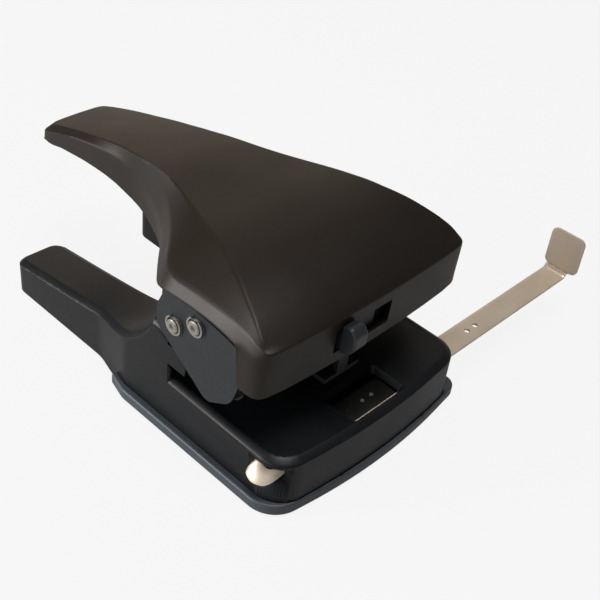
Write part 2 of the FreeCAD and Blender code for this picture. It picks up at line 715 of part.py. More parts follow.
def make_shafts():
    for shaft, seats in (("front", (clip_out,)), ("rear", (clip_out, clip_in))):
        reach = f"-{shaft}_shaft_reach"
        high = f"{shaft}_shaft_high"
        bar = rod(f"shaft_{shaft}_bar", "-shaft_half", reach, high, "shaft_radius",
                  "2 * shaft_half", along_x)
        tools = []
        for number, seat in enumerate(seats):
            for side, sign in sides:
                low = start(seat, "clip_thick + clip_play", sign)
                tools.append(groove(f"shaft_{shaft}_groove_{number}_{side}", low, reach, high))
        node(f"shaft_{shaft}", cut(f"shaft_{shaft}", bar, *tools))


def clip(name, seat, shaft, sign):
    # A snap ring lying in a shaft groove, its mouth downwards.
    reach = f"-{shaft}_shaft_reach"
    high = f"{shaft}_shaft_high"
    low = start(f"{seat} + clip_play / 2", "clip_thick", sign)
    disc = rod(f"{name}_disc", low, reach, high, "clip_radius", "clip_thick", along_x)
    tools = [rod(f"{name}_eye", low, reach, high, "groove_radius", "clip_thick", along_x)]
    tools.append(block(f"{name}_mouth", low, f"{reach} - clip_mouth / 2", f"{high} - 10",
                       "clip_thick", "clip_mouth", "10"))
    for notch, along in (("near", f"{reach} - groove_radius"), ("far", f"{reach} + groove_radius")):
        tools.append(rod(f"{name}_notch_{notch}", low, along, f"{high} + clip_thick", "clip_notch",
                         "clip_thick", along_x))
    return node(name, cut(name, disc, *tools))


def make_clips():
    for side, sign in sides:
        clip(f"clip_front_{side}", clip_out, "front", sign)
        clip(f"clip_rear_{side}", clip_out, "rear", sign)
        clip(f"roller_clip_{side}", clip_in, "rear", sign)


def make_rollers():
    for side, sign in sides:
        name = f"roller_{side}"
        low = start("hole_pitch / 2 - roller_wide / 2", "roller_wide", sign)
        tyre = rod(f"{name}_tyre", low, "-rear_shaft_reach", "rear_shaft_high", "roller_radius",
                   "roller_wide", along_x)
        bore = rod(f"{name}_bore", low, "-rear_shaft_reach", "rear_shaft_high",
                   "shaft_radius + run_clear", "roller_wide", along_x)
        node(name, cut(name, tyre, bore))


def make_sleeves():
    ends = (("rear", "hole_pitch / 2 - roller_wide / 2 - side_clear"),
            ("front", f"{cheek_inner} - side_clear"))
    for shaft, end in ends:
        for side, sign in sides:
            name = f"sleeve_{shaft}_{side}"
            long = f"{end} - channel_half - side_clear / 4"
            low = start("channel_half + side_clear / 4", long, sign)
            tube = rod(f"{name}_tube", low, f"-{shaft}_shaft_reach", f"{shaft}_shaft_high",
                       "shaft_radius + sleeve_wall", long, along_x)
            bore = rod(f"{name}_bore", low, f"-{shaft}_shaft_reach", f"{shaft}_shaft_high",
                       "shaft_radius + run_clear", long, along_x)
            node(name, cut(name, tube, bore))


def channel_shape():
    # The lever's steel backbone: a folded channel open at the bottom, in side view.
    top = size("channel_top_high")
    edge = size("channel_edge_high")
    low = size("channel_low_high")
    near = -size("channel_reach")
    back = -size("channel_low_back")
    far = size("channel_back")
    upper = [(near, top - 12, 3.0), (near + 16, top, 6.0), (near + 70, top, 30.0),
             (near + 98, top - 2.5, 30.0), (far - 38, top - 8.8, 30.0), (far, top - 18.4, 2.0)]
    lower = [(far, edge, 0), (near + 68, edge + 0.5, 0), (near + 40, edge + 2, 4.0),
             (back, edge + 1, 3.0), (back, low, 3.0), (near + 14, low, 3.0), (near, low + 5, 3.0)]
    half = size("channel_half")
    plate = size("channel_plate")
    outer = crosswise(outline(upper + lower), -half, half)
    inside = [(near - 12, top - 12 - plate, 0), (near, top - 12 - plate, 0)]
    inside += [(along, high - plate, 0) for along, high, radius in upper[1:]]
    inside += [(far + 12, top - 18.4 - plate, 0), (far + 12, low - 26, 0), (near - 12, low - 26, 0)]
    inner = crosswise(outline(inside), -half + plate, half - plate)
    return outer.cut(inner)


def make_channel():
    tools = []
    for shaft in ("front", "rear"):
        tools.append(rod(f"channel_{shaft}_hole", "-80", f"-{shaft}_shaft_reach",
                         f"{shaft}_shaft_high", "shaft_radius", "160", along_x))
    for spot in ("front", "rear"):
        tools.append(rod(f"channel_{spot}_screw_hole", "0", f"boss_{spot}_back", "90",
                         "screw_radius + screw_clear", "20"))
    return node("lever_channel", cut("lever_channel", feature("channel_fold", channel_shape()), *tools))


# Lever cover

# Sections across the lever, from the front to the back: the place on Y, the half width at the foot
# (70 above the table), the band's half width and height, the crease's half width and height, and
# the rise of the crown over the crease.
cover_sections = [
    (-72.0, 68.6, 68.0, 84.5, 67.0, 85.5, 3.4), (-62.0, 68.6, 68.0, 89.5, 66.4, 91.0, 4.2),
    (-56.0, 68.6, 67.4, 92.8, 64.2, 96.4, 3.0), (-50.0, 68.6, 67.2, 93.6, 60.8, 100.4, 2.0),
    (-40.0, 68.6, 67.0, 95.0, 56.3, 103.8, 1.6), (-23.0, 68.6, 67.0, 97.0, 49.3, 107.2, 1.4),
    (-5.0, 68.6, 66.8, 95.8, 42.8, 107.9, 1.4), (5.0, 72.3, 62.8, 92.4, 39.4, 107.7, 1.3),
    (14.0, 62.7, 54.5, 91.0, 36.3, 107.2, 1.2), (23.0, 54.1, 46.2, 90.2, 33.3, 106.6, 1.2),
    (33.0, 45.0, 36.4, 90.1, 29.8, 106.2, 1.1), (43.0, 37.3, 28.6, 90.3, 26.6, 105.8, 1.0),
    (53.0, 30.8, 24.4, 90.6, 23.8, 105.3, 1.0), (63.0, 26.6, 22.9, 90.8, 22.3, 104.4, 1.0),
    (77.0, 22.6, 22.4, 89.4, 22.1, 101.4, 1.0), (90.0, 22.5, 22.4, 88.0, 22.2, 98.0, 1.0),
    (105.0, 22.5, 22.4, 86.0, 22.2, 94.2, 1.0), (120.0, 22.5, 22.4, 84.0, 22.2, 91.0, 1.0),
    (140.0, 22.5, 22.4, 81.0, 22.2, 86.0, 1.0), (160.0, 22.5, 22.4, 77.0, 22.2, 80.4, 1.0),
]


def cover_section(row, wall):
    along, foot, band, band_high, crease, crease_high, crown = row
    foot_high = 70.0
    low = 55.0
    if foot == size("cover_half"):
        knee = foot
        knee_high = min(88.0, band_high - 1.0)
    else:
        knee = (foot + band) / 2
        knee_high = (foot_high + band_high) / 2
    lean = (foot - knee) / (knee_high - foot_high)
    points = [
        (foot - wall + lean * (foot_high - low), low), (knee - wall, knee_high),
        (band - wall, band_high - 0.4 * wall), (crease - 0.6 * wall, crease_high - wall),
    ]
    right = [Vector(across, along, high) for across, high in points]
    left = [Vector(-across, along, high) for across, high in points]
    top = Vector(0, along, crease_high + crown - wall)
    edges = [Part.LineSegment(left[0], right[0]).toShape()]
    edges += [Part.LineSegment(a, b).toShape() for a, b in zip(right, right[1:])]
    edges.append(Part.Arc(right[3], top, left[3]).toShape())
    edges += [Part.LineSegment(a, b).toShape() for a, b in zip(left[::-1], left[-2::-1])]
    return Part.Wire(edges)


def cover_plan(inset):
    front = bowed_front(size("cover_half"), size("cover_reach") - inset, size("cover_bow"),
                        size("cover_corner") - inset)
    slim = size("handle_half") + 0.7
    end = size("handle_back") - inset
    right = [(80.0, front[1][1] + 20, 0), (80.0, 110.0, 0), (slim, 110.0, 0), (slim - inset, end, 7.0)]
    right = [front[1], (front[1][0], 0.0, 0), (front[1][0] + 8, 0.0, 0)] + right[1:]
    left = [(-across, along, radius) for across, along, radius in reversed(right)]
    return outline([front[0]] + right + left)


def cover_side():
    # Side view kept of the cover: its lower edge, stepped up over the cheeks.
    low = size("cover_front_low")
    step = -size("cover_step_reach")
    line = size("cheek_line_high")
    corners = [
        (-90.0, low, 0), (step, low, 1.5), (step, line, 2.0), (6.0, line, 8.0), (14.0, 82.0, 20.0),
        (27.0, 78.0, 20.0), (38.0, 75.2, 20.0), (47.0, 74.2, 20.0), (66.0, 74.0, 20.0),
        (82.0, 75.5, 30.0), (97.0, 78.0, 30.0), (118.0, 78.0, 60.0), (132.0, 75.0, 30.0),
        (170.0, 74.0, 0), (170.0, 130.0, 0), (-90.0, 130.0, 0),
    ]
    return outline(corners)


def cover_shell():
    low = size("cover_front_low") - 20
    high = size("boss_front_top") + 20
    outer = Part.makeLoft([cover_section(row, 0) for row in cover_sections], True, False)
    outer = outer.common(standing(cover_plan(0), low, high))
    wall = size("cover_wall")
    inner = Part.makeLoft([cover_section(row, wall) for row in cover_sections], True, False)
    inner = inner.common(standing(cover_plan(wall), low - 10, high))
    half = size("cover_half") + 20
    return outer.cut(inner).common(crosswise(cover_side(), -half, half))


def make_cover():
    shell = feature("cover_shell", cover_shell())
    parts = [shell]
    for spot in ("front", "rear"):
        parts.append(rod(f"cover_boss_{spot}", "0", f"boss_{spot}_back", "channel_top_high",
                         "boss_radius", f"boss_{spot}_top - channel_top_high"))
    for side, sign in sides:
        parts.append(block(f"cover_rib_{side}", start("rib_half - rib_wide / 2", "rib_wide", sign),
                           "-rib_reach - rib_deep", "ear_nose_high + pad_lift + bar_gap",
                           "rib_wide", "rib_deep",
                           "rib_top_high - ear_nose_high - pad_lift - bar_gap"))
    tools = [block("lock_slot", "slot_left", "-90", "slot_low", "slot_right - slot_left", "30",
                   "slot_high - slot_low")]
    for spot in ("front", "rear"):
        tools.append(rod(f"cover_tap_{spot}", "0", f"boss_{spot}_back", "90", "screw_radius", "15"))
    for side, sign in sides:
        room = "cheek_thick + 2 * side_clear"
        tools.append(block(f"cheek_room_{side}", start(f"{cheek_inner} - side_clear", room, sign),
                           "-cheek_reach - side_clear", "pivot_high", room,
                           "cheek_reach + cheek_back + 2 * side_clear",
                           "cheek_top_high + side_clear - pivot_high"))
        deep = "cheek_thick + side_clear + clip_thick + clip_play + clip_room_end"
        tools.append(rod(f"clip_room_{side}", start(cheek_inner, deep, sign),
                         "-front_shaft_reach", "front_shaft_high", "clip_radius + clip_room", deep,
                         along_x))
    return node("lever_cover", cut("lever_cover", fuse("cover_whole", *parts), *tools))


def make_cover_screws():
    for spot in ("front", "rear"):
        name = f"cover_screw_{spot}"
        along = f"boss_{spot}_back"
        head = rod(f"{name}_head", "0", along, "channel_top_high - channel_plate - 2",
                   "screw_head_radius + 0.3", "2")
        shank = rod(f"{name}_shank", "0", along, "channel_top_high - channel_plate - 1",
                    "screw_radius", "channel_plate + 5")
        drive = block(f"{name}_drive", "-5", f"{along} - 0.4",
                      "channel_top_high - channel_plate - 3", "10", "0.8", "1.8")
        node(name, cut(name, fuse(f"{name}_body", head, shank), drive))


def make_rest_pads():
    for side, sign in sides:
        name = f"rest_pad_{side}"
        pad = rod(name, mirrored("rib_half", sign), "-rib_reach - rib_deep / 2",
                  "ear_nose_high - pad_sink", "pad_radius", "pad_sink + pad_lift")
        node(name, pad)


# Lever lock

def knob_outline():
    # Side view: flat behind, with a rounded nose and an underside that slants back to the cover.
    low = size("knob_low")
    high = low + size("knob_tall")
    rear = -size("knob_back_reach")
    front = rear - size("knob_deep")
    return outline([
        (rear, low, 0), (rear, high - 1.5, 0), (front + 3.0, high, 2.5), (front, high - 4.0, 3.0),
        (front, low + 6.5, 4.0), (front + 3.0, low + 1.5, 3.0),
    ])


def make_lock_knob():
    left = size("knob_left")
    rear = -size("knob_back_reach")
    knob = crosswise(knob_outline(), left, left + size("knob_wide"))

    def on_rim(edge):
        return edge.BoundBox.XLength < 0.01 and edge.CenterOfMass.y < rear - 0.01

    cap = feature("knob_cap", soften(knob, size("knob_round"), on_rim))
    stem = block("knob_stem", "knob_left + (knob_wide - stem_wide) / 2", "-knob_back_reach",
                 "slot_low + 1", "stem_wide", "knob_back_reach - lock_plate_reach",
                 "slot_high - slot_low - 2.5")
    return node("lock_knob", fuse("lock_knob", cap, stem))


def make_lock_plate():
    plate = block("lock_plate_bar", "lock_plate_left", "-lock_plate_reach", "slot_low",
                  "lock_plate_long", "lock_plate_thick", "slot_high - slot_low - rail_grip")
    tab = block("lock_tab", "lock_plate_left", "-lock_plate_reach", "lock_tab_low", "lock_tab_wide",
                "lock_plate_thick", "slot_low - lock_tab_low + 1")
    return node("lock_plate", fuse("lock_plate", plate, tab))


def make_lock_rail():
    # A folded rail behind the plate: a back wall, a lip along the top and one under the right end.
    back = "-lock_plate_reach + lock_plate_thick + rail_grip"
    long = "lock_plate_long + lock_travel + 2"
    wall = block("rail_back", "lock_plate_left - 1", back, "slot_low + 1", long, "rail_wall",
                 "slot_high - slot_low - 1 + rail_wall")
    lip = block("rail_top", "lock_plate_left - 1", "-lock_plate_reach", "slot_high", long,
                "lock_plate_thick + rail_grip + rail_wall", "rail_wall")
    under = block("rail_under", "-5", "-lock_plate_reach", "slot_low - rail_grip - rail_wall",
                  "lock_plate_left + lock_plate_long + lock_travel + 5",
                  "lock_plate_thick + rail_grip + rail_wall", "rail_wall")
    drop = block("rail_drop", "-5", back, "slot_low - rail_grip - rail_wall",
                 "lock_plate_left + lock_plate_long + lock_travel + 5", "rail_wall", "5")
    hanger = block("rail_hanger", "-8", back, "slot_high", "16", "rail_wall", "9.5")
    return node("lock_rail", fuse("lock_rail", wall, lip, under, drop, hanger))


def make_lock_catch():
    left = "lock_plate_left + lock_travel - 0.5"
    foot = block("catch_foot_plate", "catch_left", "-catch_reach", jaw_top, "catch_wide",
                 "catch_reach - jaw_nose_reach + catch_seat", "catch_foot")
    post = block("catch_post", left, "-catch_reach", jaw_top, "lock_tab_wide + 1", "catch_thick",
                 f"catch_top_high - ({jaw_top})")
    holes = []
    for spot, across in catch_screw_spots:
        holes.append(rod(f"catch_hole_{spot}", across, catch_screw_line, jaw_top,
                         "screw_radius + screw_clear", "5"))
    return node("lock_catch", cut("lock_catch", fuse("catch_body", foot, post), *holes))


def make_catch_screws():
    seat = jaw_top + " + catch_foot"
    for spot, across in catch_screw_spots:
        name = f"catch_screw_{spot}"
        head = rod(f"{name}_head", across, catch_screw_line, seat, "screw_head_radius", "1.8")
        shank = rod(f"{name}_shank", across, catch_screw_line, f"{seat} - 6", "screw_radius", "6.5")
        drive = block(f"{name}_drive", f"{across} - 4", f"{catch_screw_line} - 0.4", f"{seat} + 1",
                      "8", "0.8", "2")
        node(name, cut(name, fuse(f"{name}_body", head, shank), drive))


# Paper guide

def make_paper_guide():
    near = "-strip_reach - strip_wide"
    low = size("strip_low")
    left = size("strip_left")
    right = size("strip_right")
    front = -size("strip_reach") - size("strip_wide")
    back = -size("strip_reach")
    strip = standing(outline([(right, front, 0), (right, back, 0), (left, back, 3.5),
                              (left, front, 3.5)]), low, low + size("strip_thick"))
    item = feature("strip_bar", strip)
    curl = block("strip_curl", "strip_left", f"{near} + 4", "curl_low", "strip_thick",
                 "strip_wide - 8", "strip_low + strip_thick - curl_low")
    middle = (front + back) / 2 - 2.0
    half = size("fence_wide") / 2
    neck = low + size("fence_neck_high")
    rise = [(back, low, 0), (back, neck, 0), (middle + half, neck, 3.5),
            (middle + half, size("fence_top_high"), 5.0), (middle - half, size("fence_top_high"), 5.0),
            (middle - half, neck, 3.5), (front, neck, 0), (front, low, 0)]
    fence = feature("strip_fence", crosswise(outline(rise), right - size("strip_thick"), right))
    holes = []
    for number, across in enumerate(("84", "91")):
        holes.append(rod(f"strip_hole_{number}", across, "-strip_reach - strip_wide / 2",
                         "20", "strip_hole_radius", "20"))
    whole = fuse("strip_whole", item, curl, fence)
    return node("paper_guide", cut("paper_guide", whole, *holes))


def make_guide_leaves():
    for side, sign in sides:
        name = f"guide_leaf_{side}"
        across = mirrored("leaf_half", sign)
        leaf_low = "strip_low - leaf_gap - leaf_thick"
        leaf = block(f"{name}_bar", f"{across} - leaf_wide / 2", f"4 - {leaf_screw_reach} - leaf_long",
                     leaf_low, "leaf_wide", "leaf_long", "leaf_thick")
        hole = rod(f"{name}_hole", across, f"-{leaf_screw_reach}", "20",
                   "screw_radius + screw_clear", "10")
        node(name, cut(name, leaf, hole))
        head = rod(f"guide_screw_{side}_head", across, f"-{leaf_screw_reach}", f"{leaf_low} - 1.6",
                   "screw_head_radius", "1.6")
        shank = rod(f"guide_screw_{side}_shank", across, f"-{leaf_screw_reach}", f"{leaf_low} - 1",
                    "screw_radius", "4.5")
        drive = block(f"guide_screw_{side}_drive", f"{across} - 4", f"-{leaf_screw_reach} - 0.4",
                      f"{leaf_low} - 3", "8", "0.8", "2.2")
        body = fuse(f"guide_screw_{side}_body", head, shank)
        node(f"guide_screw_{side}", cut(f"guide_screw_{side}", body, drive))


def build_all():
    make_base_casting()
    make_chip_tray()
    make_feet()
    make_die_plate()
    make_die_screws()
    make_bushes()
    make_punches()
    make_punch_bar()
    make_springs()
    make_pivots()
    make_cheeks()
    make_shafts()
    make_clips()
    make_rollers()
    make_sleeves()
    make_channel()
    make_cover()
    make_cover_screws()
    make_rest_pads()
    make_lock_knob()
    make_lock_plate()
    make_lock_rail()
    make_lock_catch()
    make_catch_screws()
    make_paper_guide()
    make_guide_leaves()


def check_all():
    doc.recompute()
    for item in doc.Objects:
        if "Invalid" in item.State or "Error" in item.State:
            raise RuntimeError(f"{item.Name} did not build: {item.State}")
    for item in nodes:
        if item.Shape.isNull() or not item.Shape.isValid():
            raise RuntimeError(f"{item.Label} has no valid shape")
        if len(item.Shape.Solids) != 1:
            raise RuntimeError(f"{item.Label} is made of {len(item.Shape.Solids)} solids")


def export_all():
    os.makedirs("parts", exist_ok=True)
    for item in nodes:
        item.Shape.exportStep(f"parts/{item.Label}.step")


build_all()
check_all()
export_all()
print(len(nodes), "pieces written")
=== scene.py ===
import bpy
import bmesh
import json
import math
from mathutils import Matrix, Vector


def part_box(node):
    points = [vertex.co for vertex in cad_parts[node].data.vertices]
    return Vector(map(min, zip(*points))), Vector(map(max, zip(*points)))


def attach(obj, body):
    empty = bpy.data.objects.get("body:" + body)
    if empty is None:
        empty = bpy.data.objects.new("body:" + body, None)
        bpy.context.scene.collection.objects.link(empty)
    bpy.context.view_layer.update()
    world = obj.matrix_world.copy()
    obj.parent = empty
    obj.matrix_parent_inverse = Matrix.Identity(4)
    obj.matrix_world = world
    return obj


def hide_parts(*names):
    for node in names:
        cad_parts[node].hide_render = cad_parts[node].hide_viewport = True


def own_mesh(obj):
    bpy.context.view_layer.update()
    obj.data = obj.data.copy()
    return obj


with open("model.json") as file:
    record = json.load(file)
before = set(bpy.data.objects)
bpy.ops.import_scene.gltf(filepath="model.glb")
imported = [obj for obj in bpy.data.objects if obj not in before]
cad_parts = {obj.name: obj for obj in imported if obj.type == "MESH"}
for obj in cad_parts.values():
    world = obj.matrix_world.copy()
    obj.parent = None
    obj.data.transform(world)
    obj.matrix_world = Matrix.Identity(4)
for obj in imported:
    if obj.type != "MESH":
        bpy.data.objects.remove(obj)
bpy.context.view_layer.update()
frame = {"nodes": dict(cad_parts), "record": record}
nodes = frame["nodes"]
print("frame loaded:", len(nodes), "nodes")

mm = 0.001
scene = bpy.context.scene


# Small helpers for tables, meshes and objects

def smooth(low, high, value):
    share = min(max((value - low) / (high - low), 0.0), 1.0)
    return share * share * (3 - 2 * share)


def lookUp(table, place):
    # A smooth curve, without overshoot, through a table's rows of (place, value)
    rows = sorted(table)
    place = min(max(place, rows[0][0]), rows[-1][0])
    number = next(i for i in range(len(rows) - 1) if rows[i + 1][0] >= place)
    rises = [(high - low) / (end - start) for (start, low), (end, high) in zip(rows, rows[1:])]

    def slope(i):
        left, right = rises[max(i - 1, 0)], rises[min(i, len(rises) - 1)]
        return 0.0 if left * right <= 0 else 2 * left * right / (left + right)

    (start, low), (end, high) = rows[number:number + 2]
    t = (place - start) / (end - start)
    first, second = (end - start) * slope(number), (end - start) * slope(number + 1)
    return ((2 * t ** 3 - 3 * t ** 2 + 1) * low + (t ** 3 - 2 * t ** 2 + t) * first
            + (-2 * t ** 3 + 3 * t ** 2) * high + (t ** 3 - t ** 2) * second)


def newObject(name, data):
    piece = bpy.data.objects.new(name, data)
    scene.collection.objects.link(piece)
    return piece


def meshFrom(name, vertices, faces):
    mesh = bpy.data.meshes.new(name)
    mesh.from_pydata([tuple(v * mm for v in vertex) for vertex in vertices], [], faces)
    mesh.validate()
    return mesh


def gridFaces(rows, wide):
    # Four-cornered faces over a grid of points given row by row
    return [(a, a + 1, a + wide + 1, a + wide) for i in range(rows - 1)
            for a in range(i * wide, (i + 1) * wide - 1)]


def stripFaces(inner, outer):
    # A closed band of faces between two rings of as many points
    after = [*range(1, len(inner)), 0]
    return [(inner[k], inner[n], outer[n], outer[k]) for k, n in enumerate(after)]


def facesOut(mesh):
    work = bmesh.new()
    work.from_mesh(mesh)
    bmesh.ops.recalc_face_normals(work, faces=work.faces)
    work.to_mesh(mesh)
    work.free()


def modify(piece, kind, **settings):
    modifier = piece.modifiers.new(kind.lower(), kind)
    for key, value in settings.items():
        setattr(modifier, key, value)
    return modifier


def applyModifiers(piece):
    # The evaluated mesh takes the place of the live modifiers
    graph = bpy.context.evaluated_depsgraph_get()
    done = bpy.data.meshes.new_from_object(piece.evaluated_get(graph))
    old = piece.data
    piece.modifiers.clear()
    piece.data = done
    bpy.data.meshes.remove(old)
    return piece


def shadeSoft(mesh, degrees=35.0):
    mesh.shade_smooth()
    mesh.set_sharp_from_angle(angle=math.radians(degrees))


def paint(piece, material):
    piece.data.materials.clear()
    piece.data.materials.append(material)


def finish(piece, body, material=None, replaced=()):
    if material:
        paint(piece, material)
    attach(piece, body)
    if replaced:
        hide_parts(*replaced)


def add(tree, kind, inputs, **settings):
    # A new node with its settings made and each socket linked or given a value
    node = tree.nodes.new(kind)
    for key, value in settings.items():
        setattr(node, key, value)
    for key, value in inputs.items():
        if isinstance(value, bpy.types.NodeSocket):
            tree.links.new(value, node.inputs[key])
        else:
            node.inputs[key].default_value = value
    return node


def maths(tree, operation, first, second):
    return add(tree, "ShaderNodeMath", {0: first, 1: second}, operation=operation).outputs[0]


# Materials

def startMaterial(name):
    material = bpy.data.materials.new(name)
    material.use_nodes = True
    tree = material.node_tree
    place = add(tree, "ShaderNodeTexCoord", {}).outputs["Object"]
    return material, tree, tree.nodes["Principled BSDF"], place


def noise(tree, place, scale, detail=4.0, rough=0.5, stretch=None):
    if stretch:
        place = add(tree, "ShaderNodeMapping", {"Vector": place, "Scale": stretch}).outputs["Vector"]
    return add(tree, "ShaderNodeTexNoise", {
        "Vector": place, "Scale": scale, "Detail": detail, "Roughness": rough}).outputs["Fac"]


def spread(tree, value, low=0.0, high=1.0, noiseLow=0.3, noiseHigh=0.7):
    # The part of a noise between two values becomes a range from low to high
    return add(tree, "ShaderNodeMapRange", {
        "Value": value, "From Min": noiseLow, "From Max": noiseHigh, "To Min": low,
        "To Max": high}).outputs["Result"]


def mixColours(tree, share, first, second):
    first, second = ((*colour, 1.0) if isinstance(colour, tuple) else colour for colour in (first, second))
    node = add(tree, "ShaderNodeMix", {"Factor": share, 6: first, 7: second}, data_type="RGBA")
    return node.outputs[2]


def bump(tree, shader, height, distance, before=None):
    node = add(tree, "ShaderNodeBump", {"Height": height, "Distance": distance})
    if before:
        tree.links.new(before, node.inputs["Normal"])
    tree.links.new(node.outputs["Normal"], shader.inputs["Normal"])
    return node.outputs["Normal"]


def paintFinish(name, colour, cloudScale, speckColour, rough, grainScale, clouding=1.3, speckScale=900,
                specks=0.3, speckCut=0.72, roughSpread=0.05, grain=0.00003, waves=0.00002, specular=0.5):
    # A sprayed or moulded finish: slight clouding, fine grain, dust specks and an uneven sheen
    material, tree, shader, place = startMaterial(name)
    light = tuple(c * clouding for c in colour)
    clouds = noise(tree, place, cloudScale, 3.0)
    body = mixColours(tree, spread(tree, clouds), colour, light)
    dust = noise(tree, place, speckScale, 1.0)
    mask = spread(tree, dust, 0.0, specks, speckCut, speckCut + 0.03)
    tree.links.new(mixColours(tree, mask, body, speckColour), shader.inputs["Base Color"])
    wear = noise(tree, place, cloudScale * 2.3, 5.0, 0.6)
    sheen = spread(tree, wear, rough - roughSpread, rough + roughSpread)
    tree.links.new(sheen, shader.inputs["Roughness"])
    peel = bump(tree, shader, noise(tree, place, grainScale, 2.0), grain)
    bump(tree, shader, noise(tree, place, cloudScale * 6, 1.0), waves, peel)
    shader.inputs["Specular IOR Level"].default_value = specular
    return material


def metalFinish(name, colour, cloudScale, rough, stretch, clouding=0.8, lineScale=900, lines=0.00002,
                metal=0.9):
    # Worked metal: fine lines along one way, and cloudy plating
    material, tree, shader, place = startMaterial(name)
    marks = noise(tree, place, lineScale, 3.0, 0.6, stretch)
    clouds = noise(tree, place, cloudScale, 4.0)
    dark = tuple(c * clouding for c in colour)
    base = mixColours(tree, spread(tree, clouds), colour, dark)
    shade = mixColours(tree, spread(tree, marks, 0.0, 0.35), base, dark)
    tree.links.new(shade, shader.inputs["Base Color"])
    tree.links.new(spread(tree, marks, rough - 0.06, rough + 0.1), shader.inputs["Roughness"])
    bump(tree, shader, marks, lines)
    shader.inputs["Metallic"].default_value = metal
    return material


finishes = {
    "leverPaint": dict(
        colour=(0.0105, 0.0062, 0.0034), clouding=1.2, cloudScale=14, speckCut=0.74,
        speckColour=(0.04, 0.034, 0.03), rough=0.44, roughSpread=0.04, grainScale=2400, specular=0.34),
    "basePaint": dict(
        colour=(0.0034, 0.0040, 0.0052), cloudScale=16, speckScale=800, specks=0.4, speckCut=0.73,
        speckColour=(0.05, 0.054, 0.06), rough=0.42, grainScale=2100, specular=0.32),
    "trayPlastic": dict(
        colour=(0.045, 0.054, 0.066), clouding=1.25, cloudScale=22, speckScale=700,
        speckColour=(0.07, 0.08, 0.09), rough=0.46, roughSpread=0.06, grainScale=1600, grain=0.00004,
        waves=0.00003),
    "cheekSteel": dict(
        colour=(0.0095, 0.0112, 0.0132), cloudScale=30, speckScale=1500, specks=0.6, speckCut=0.66,
        speckColour=(0.07, 0.074, 0.08), rough=0.46, roughSpread=0.07, grainScale=1900, grain=0.00005,
        specular=0.42),
    "knobPlastic": dict(
        colour=(0.022, 0.024, 0.026), clouding=1.15, cloudScale=40, speckColour=(0.08, 0.08, 0.085),
        rough=0.34, grainScale=2200),
    "rubber": dict(
        colour=(0.012, 0.012, 0.013), clouding=1.4, cloudScale=60, specks=0.2,
        speckColour=(0.04, 0.04, 0.04), rough=0.85, roughSpread=0.06, grainScale=1200, grain=0.00008,
        specular=0.2),
    # Near-black colour of the sheet on the guide: painted shade for the strip seen in the window under the
    # lever head
    "scaleEnamel": dict(
        colour=(0.0055, 0.006, 0.0045), clouding=1.4, cloudScale=70, speckScale=1200, specks=0.5,
        speckCut=0.7, speckColour=(0.06, 0.06, 0.05), rough=0.4, roughSpread=0.06, grainScale=1800,
        specular=0.4),
}
metals = {
    "stripSteel": dict(
        colour=(0.80, 0.67, 0.53), clouding=0.88, cloudScale=60, lineScale=700, stretch=(0.08, 1.0, 1.0),
        rough=0.34, metal=0.35),
    "zincSteel": dict(
        colour=(0.42, 0.40, 0.36), cloudScale=140, stretch=(0.3, 1.0, 1.0), rough=0.34, metal=0.75),
    "toolSteel": dict(
        colour=(0.30, 0.30, 0.32), clouding=0.85, cloudScale=90, lineScale=1200, stretch=(1.0, 1.0, 0.2),
        rough=0.28, lines=0.00001),
    "springSteel": dict(
        colour=(0.34, 0.34, 0.35), cloudScale=200, stretch=(1.0, 1.0, 1.0), rough=0.35, lines=0.00001),
    # Near-black steel: the own black paint of some inner parts, and painted shade on inner parts and a hole
    # that lie in shadow
    "blackSteel": dict(
        colour=(0.014, 0.014, 0.015), clouding=0.75, cloudScale=160, stretch=(0.3, 1.0, 1.0), rough=0.38,
        metal=0.25),
}
materials = {name: paintFinish(name, **settings) for name, settings in finishes.items()}
materials |= {name: metalFinish(name, **settings) for name, settings in metals.items()}


def finishOf(slot):
    # A slot such as base_paint has its finish under basePaint
    first, *rest = slot.split("_")
    return materials[first + "".join(word.title() for word in rest)]


slotOf = {entry["node"]: entry["material_slot"] for entry in frame["record"]["subparts"]}
bodyOf = {node: body for body, members in frame["record"]["behaviour"]["bodies"].items() for node in members}
# Parts inside and under the lever get the near-black steel in place of their own finish: partly their own
# black paint, partly painted shade where they lie in the lever's shadow
blackAndShadedNodes = ("lock_plate", "lock_catch", "lock_rail", "lever_channel", "punch_bar", "die_plate",
             "guide_leaf", "sleeve", "pivot_washer")
for nodeName, cadObject in nodes.items():
    dark = nodeName.startswith(blackAndShadedNodes)
    paint(cadObject, materials["blackSteel"] if dark else finishOf(slotOf[nodeName]))
print("materials made:", len(materials))


# Solids carried over with welded, softly shaded surfaces

casting = {
    "round": 4.0, "bedHigh": 32.5, "stopHigh": 62.0, "shoulder": 12.0, "fade": 13.0, "rootHigh": 30.0,
    "rootBack": 60.0, "endHigh": 19.5, "legBack": 137.0, "slopeStep": 0.5,
    "bedSlack": 0.15, "blockSlack": 0.5, "blockStart": 1.5, "lean": (0.03, 0.995),
    "rimSide": 62.0, "rimFront": -74.0, "cornerSide": 45.0, "cornerFront": -66.0,
    "ridgeDrop": 2.3, "ridgeWide": 0.5, "ridgeTurns": (24.0, 36.0), "ridgeTall": 0.5, "ridgeCurve": 1.25,
    "jawSide": 40.0, "jawHigh": (36.0, 66.0), "pivot": (-39.5, 57.0), "noseRound": 8.2, "noseFrom": -2.0,
}


def castTop(back):
    # Height of the rear block's top at a distance behind the paper stop
    end, shoulder = casting["endHigh"], casting["shoulder"]
    slope = (casting["rootHigh"] - end) / (casting["legBack"] - casting["rootBack"])

    def leg(place):
        return end + slope * (casting["legBack"] - place)

    if back < shoulder:
        return casting["stopHigh"]
    return leg(back) + (casting["stopHigh"] - leg(shoulder)) * math.exp((shoulder - back) / casting["fade"])


